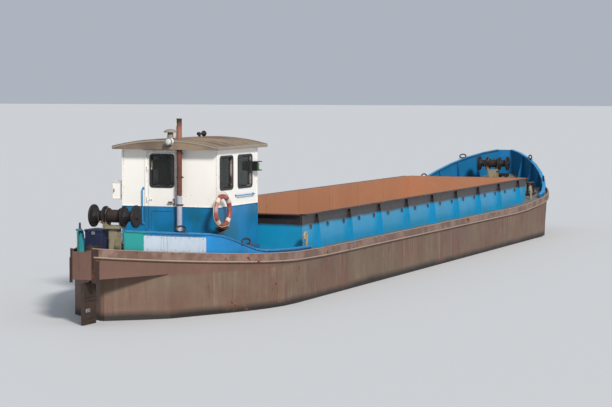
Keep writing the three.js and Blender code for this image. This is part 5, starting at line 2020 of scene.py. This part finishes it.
build.turned((-10.4, 0, 0.62), FORWARD, mm(
    (-10, 210), (30, 210), (40, 200), (50, 210), (90, 210), (100, 80), (130, 70), (135, 5),
), 3)
build.turned((-10.4, 0.22, 1.00), FORWARD, mm(
    (-10, 80), (30, 80), (40, 72), (50, 80), (80, 80), (85, 5),
), 1)
for y in (-0.46, 0.46):
    for x in (-11.7, -10.62):
        build.block((x - 0.08, y - 0.08, 0.352), (x + 0.08, y + 0.08, 0.45), 3, edge=0.006)
build.block((-13.06, -0.13, 0.3505), (-12.94, 0.13, 0.47), 1, edge=0.01)
build.turned((-13.0, 0, 0.45), FORWARD, mm((-70, 42), (-70, 75), (70, 75), (70, 42)), 1)
for wall, out, low, high in ((-13.47, 0.11, 0.62, 1.74), (13.7, -0.11, 0.75, 1.95)):
    for z in stations(low, high, 4):
        build.staple((wall, -0.16, z), (wall, 0.16, z), (out, 0, 0), 0.03, 0.011, 2)
build.done("engine_gear_and_rungs", [ENGINE_PAINT, ZINC, RUSTY, BLACK_PAINT])

# %% [markdown]
# Last come the small things of the foredeck: the anchor's shackle and its short chain up to the windlass.
# Every second link is turned a quarter, and each stands in the one before it.

# %% Anchor chain
eye = Vector((14.72, 0, deck_height(15.2) + 0.1))
drum = Vector((14.33, 0, 3.125))
ahead = (drum - eye).normalized()
for i, share in enumerate(stations(0, 1, 10)):
    place = eye.lerp(drum, share) - Vector((0, 0, 0.2 * share * (1 - share)))
    flat = TO_PORT if i % 2 else ahead.cross(TO_PORT)
    link = []
    for a in ring_angles(16):
        stretch = copysign(0.014, cos(a))
        link.append(place + ahead * (0.02 * cos(a) + stretch) + flat * 0.02 * sin(a))
    build.tube(link, 0.0075, closed=True)
build.turned(eye + Vector((-0.01, 0, -0.04)), UP, mm((-12, 50), (0, 50), (6, 40), (7, 4)))
build.done("anchor_chain", [RUSTY])

# %% [markdown]
# The pale floor lies where the water would stand. It is open where the barge's rooms reach below it, so
# that it doesn't show inside the hold, the engine room or the forepeak.

# %% Floor at the waterline
FLOOR_HALF = 400

mesh = bpy.data.meshes.new("floor")
rooms = [(-13.49, -9.28, 1.17), (HOLD.aft - 0.02, HOLD.fore + 0.02, HOLD.half + 0.02), (11.48, 13.72, 1.32)]
edges = sorted({-FLOOR_HALF, FLOOR_HALF, *(x for room in rooms for x in room[:2])})
points, faces = [], []
for aft, fore in zip(edges, edges[1:]):
    half = next((room[2] for room in rooms if room[0] == aft), 0.0)
    for low, high in ((-FLOOR_HALF, -half), (half, FLOOR_HALF)):
        faces.append(tuple(range(len(points), len(points) + 4)))
        points += [(x, y, WATERLINE) for x, y in ((aft, low), (fore, low), (fore, high), (aft, high))]
mesh.from_pydata(points, [], faces)
floor = bpy.data.objects.new("floor", mesh)
bpy.context.collection.objects.link(floor)
material, nodes, _, _ = new_finish("floor")
nodes.feed(nodes.shader, {"Base Color": (0.6, 0.61, 0.62, 1), "Roughness": 0.7})
mesh.materials.append(material)
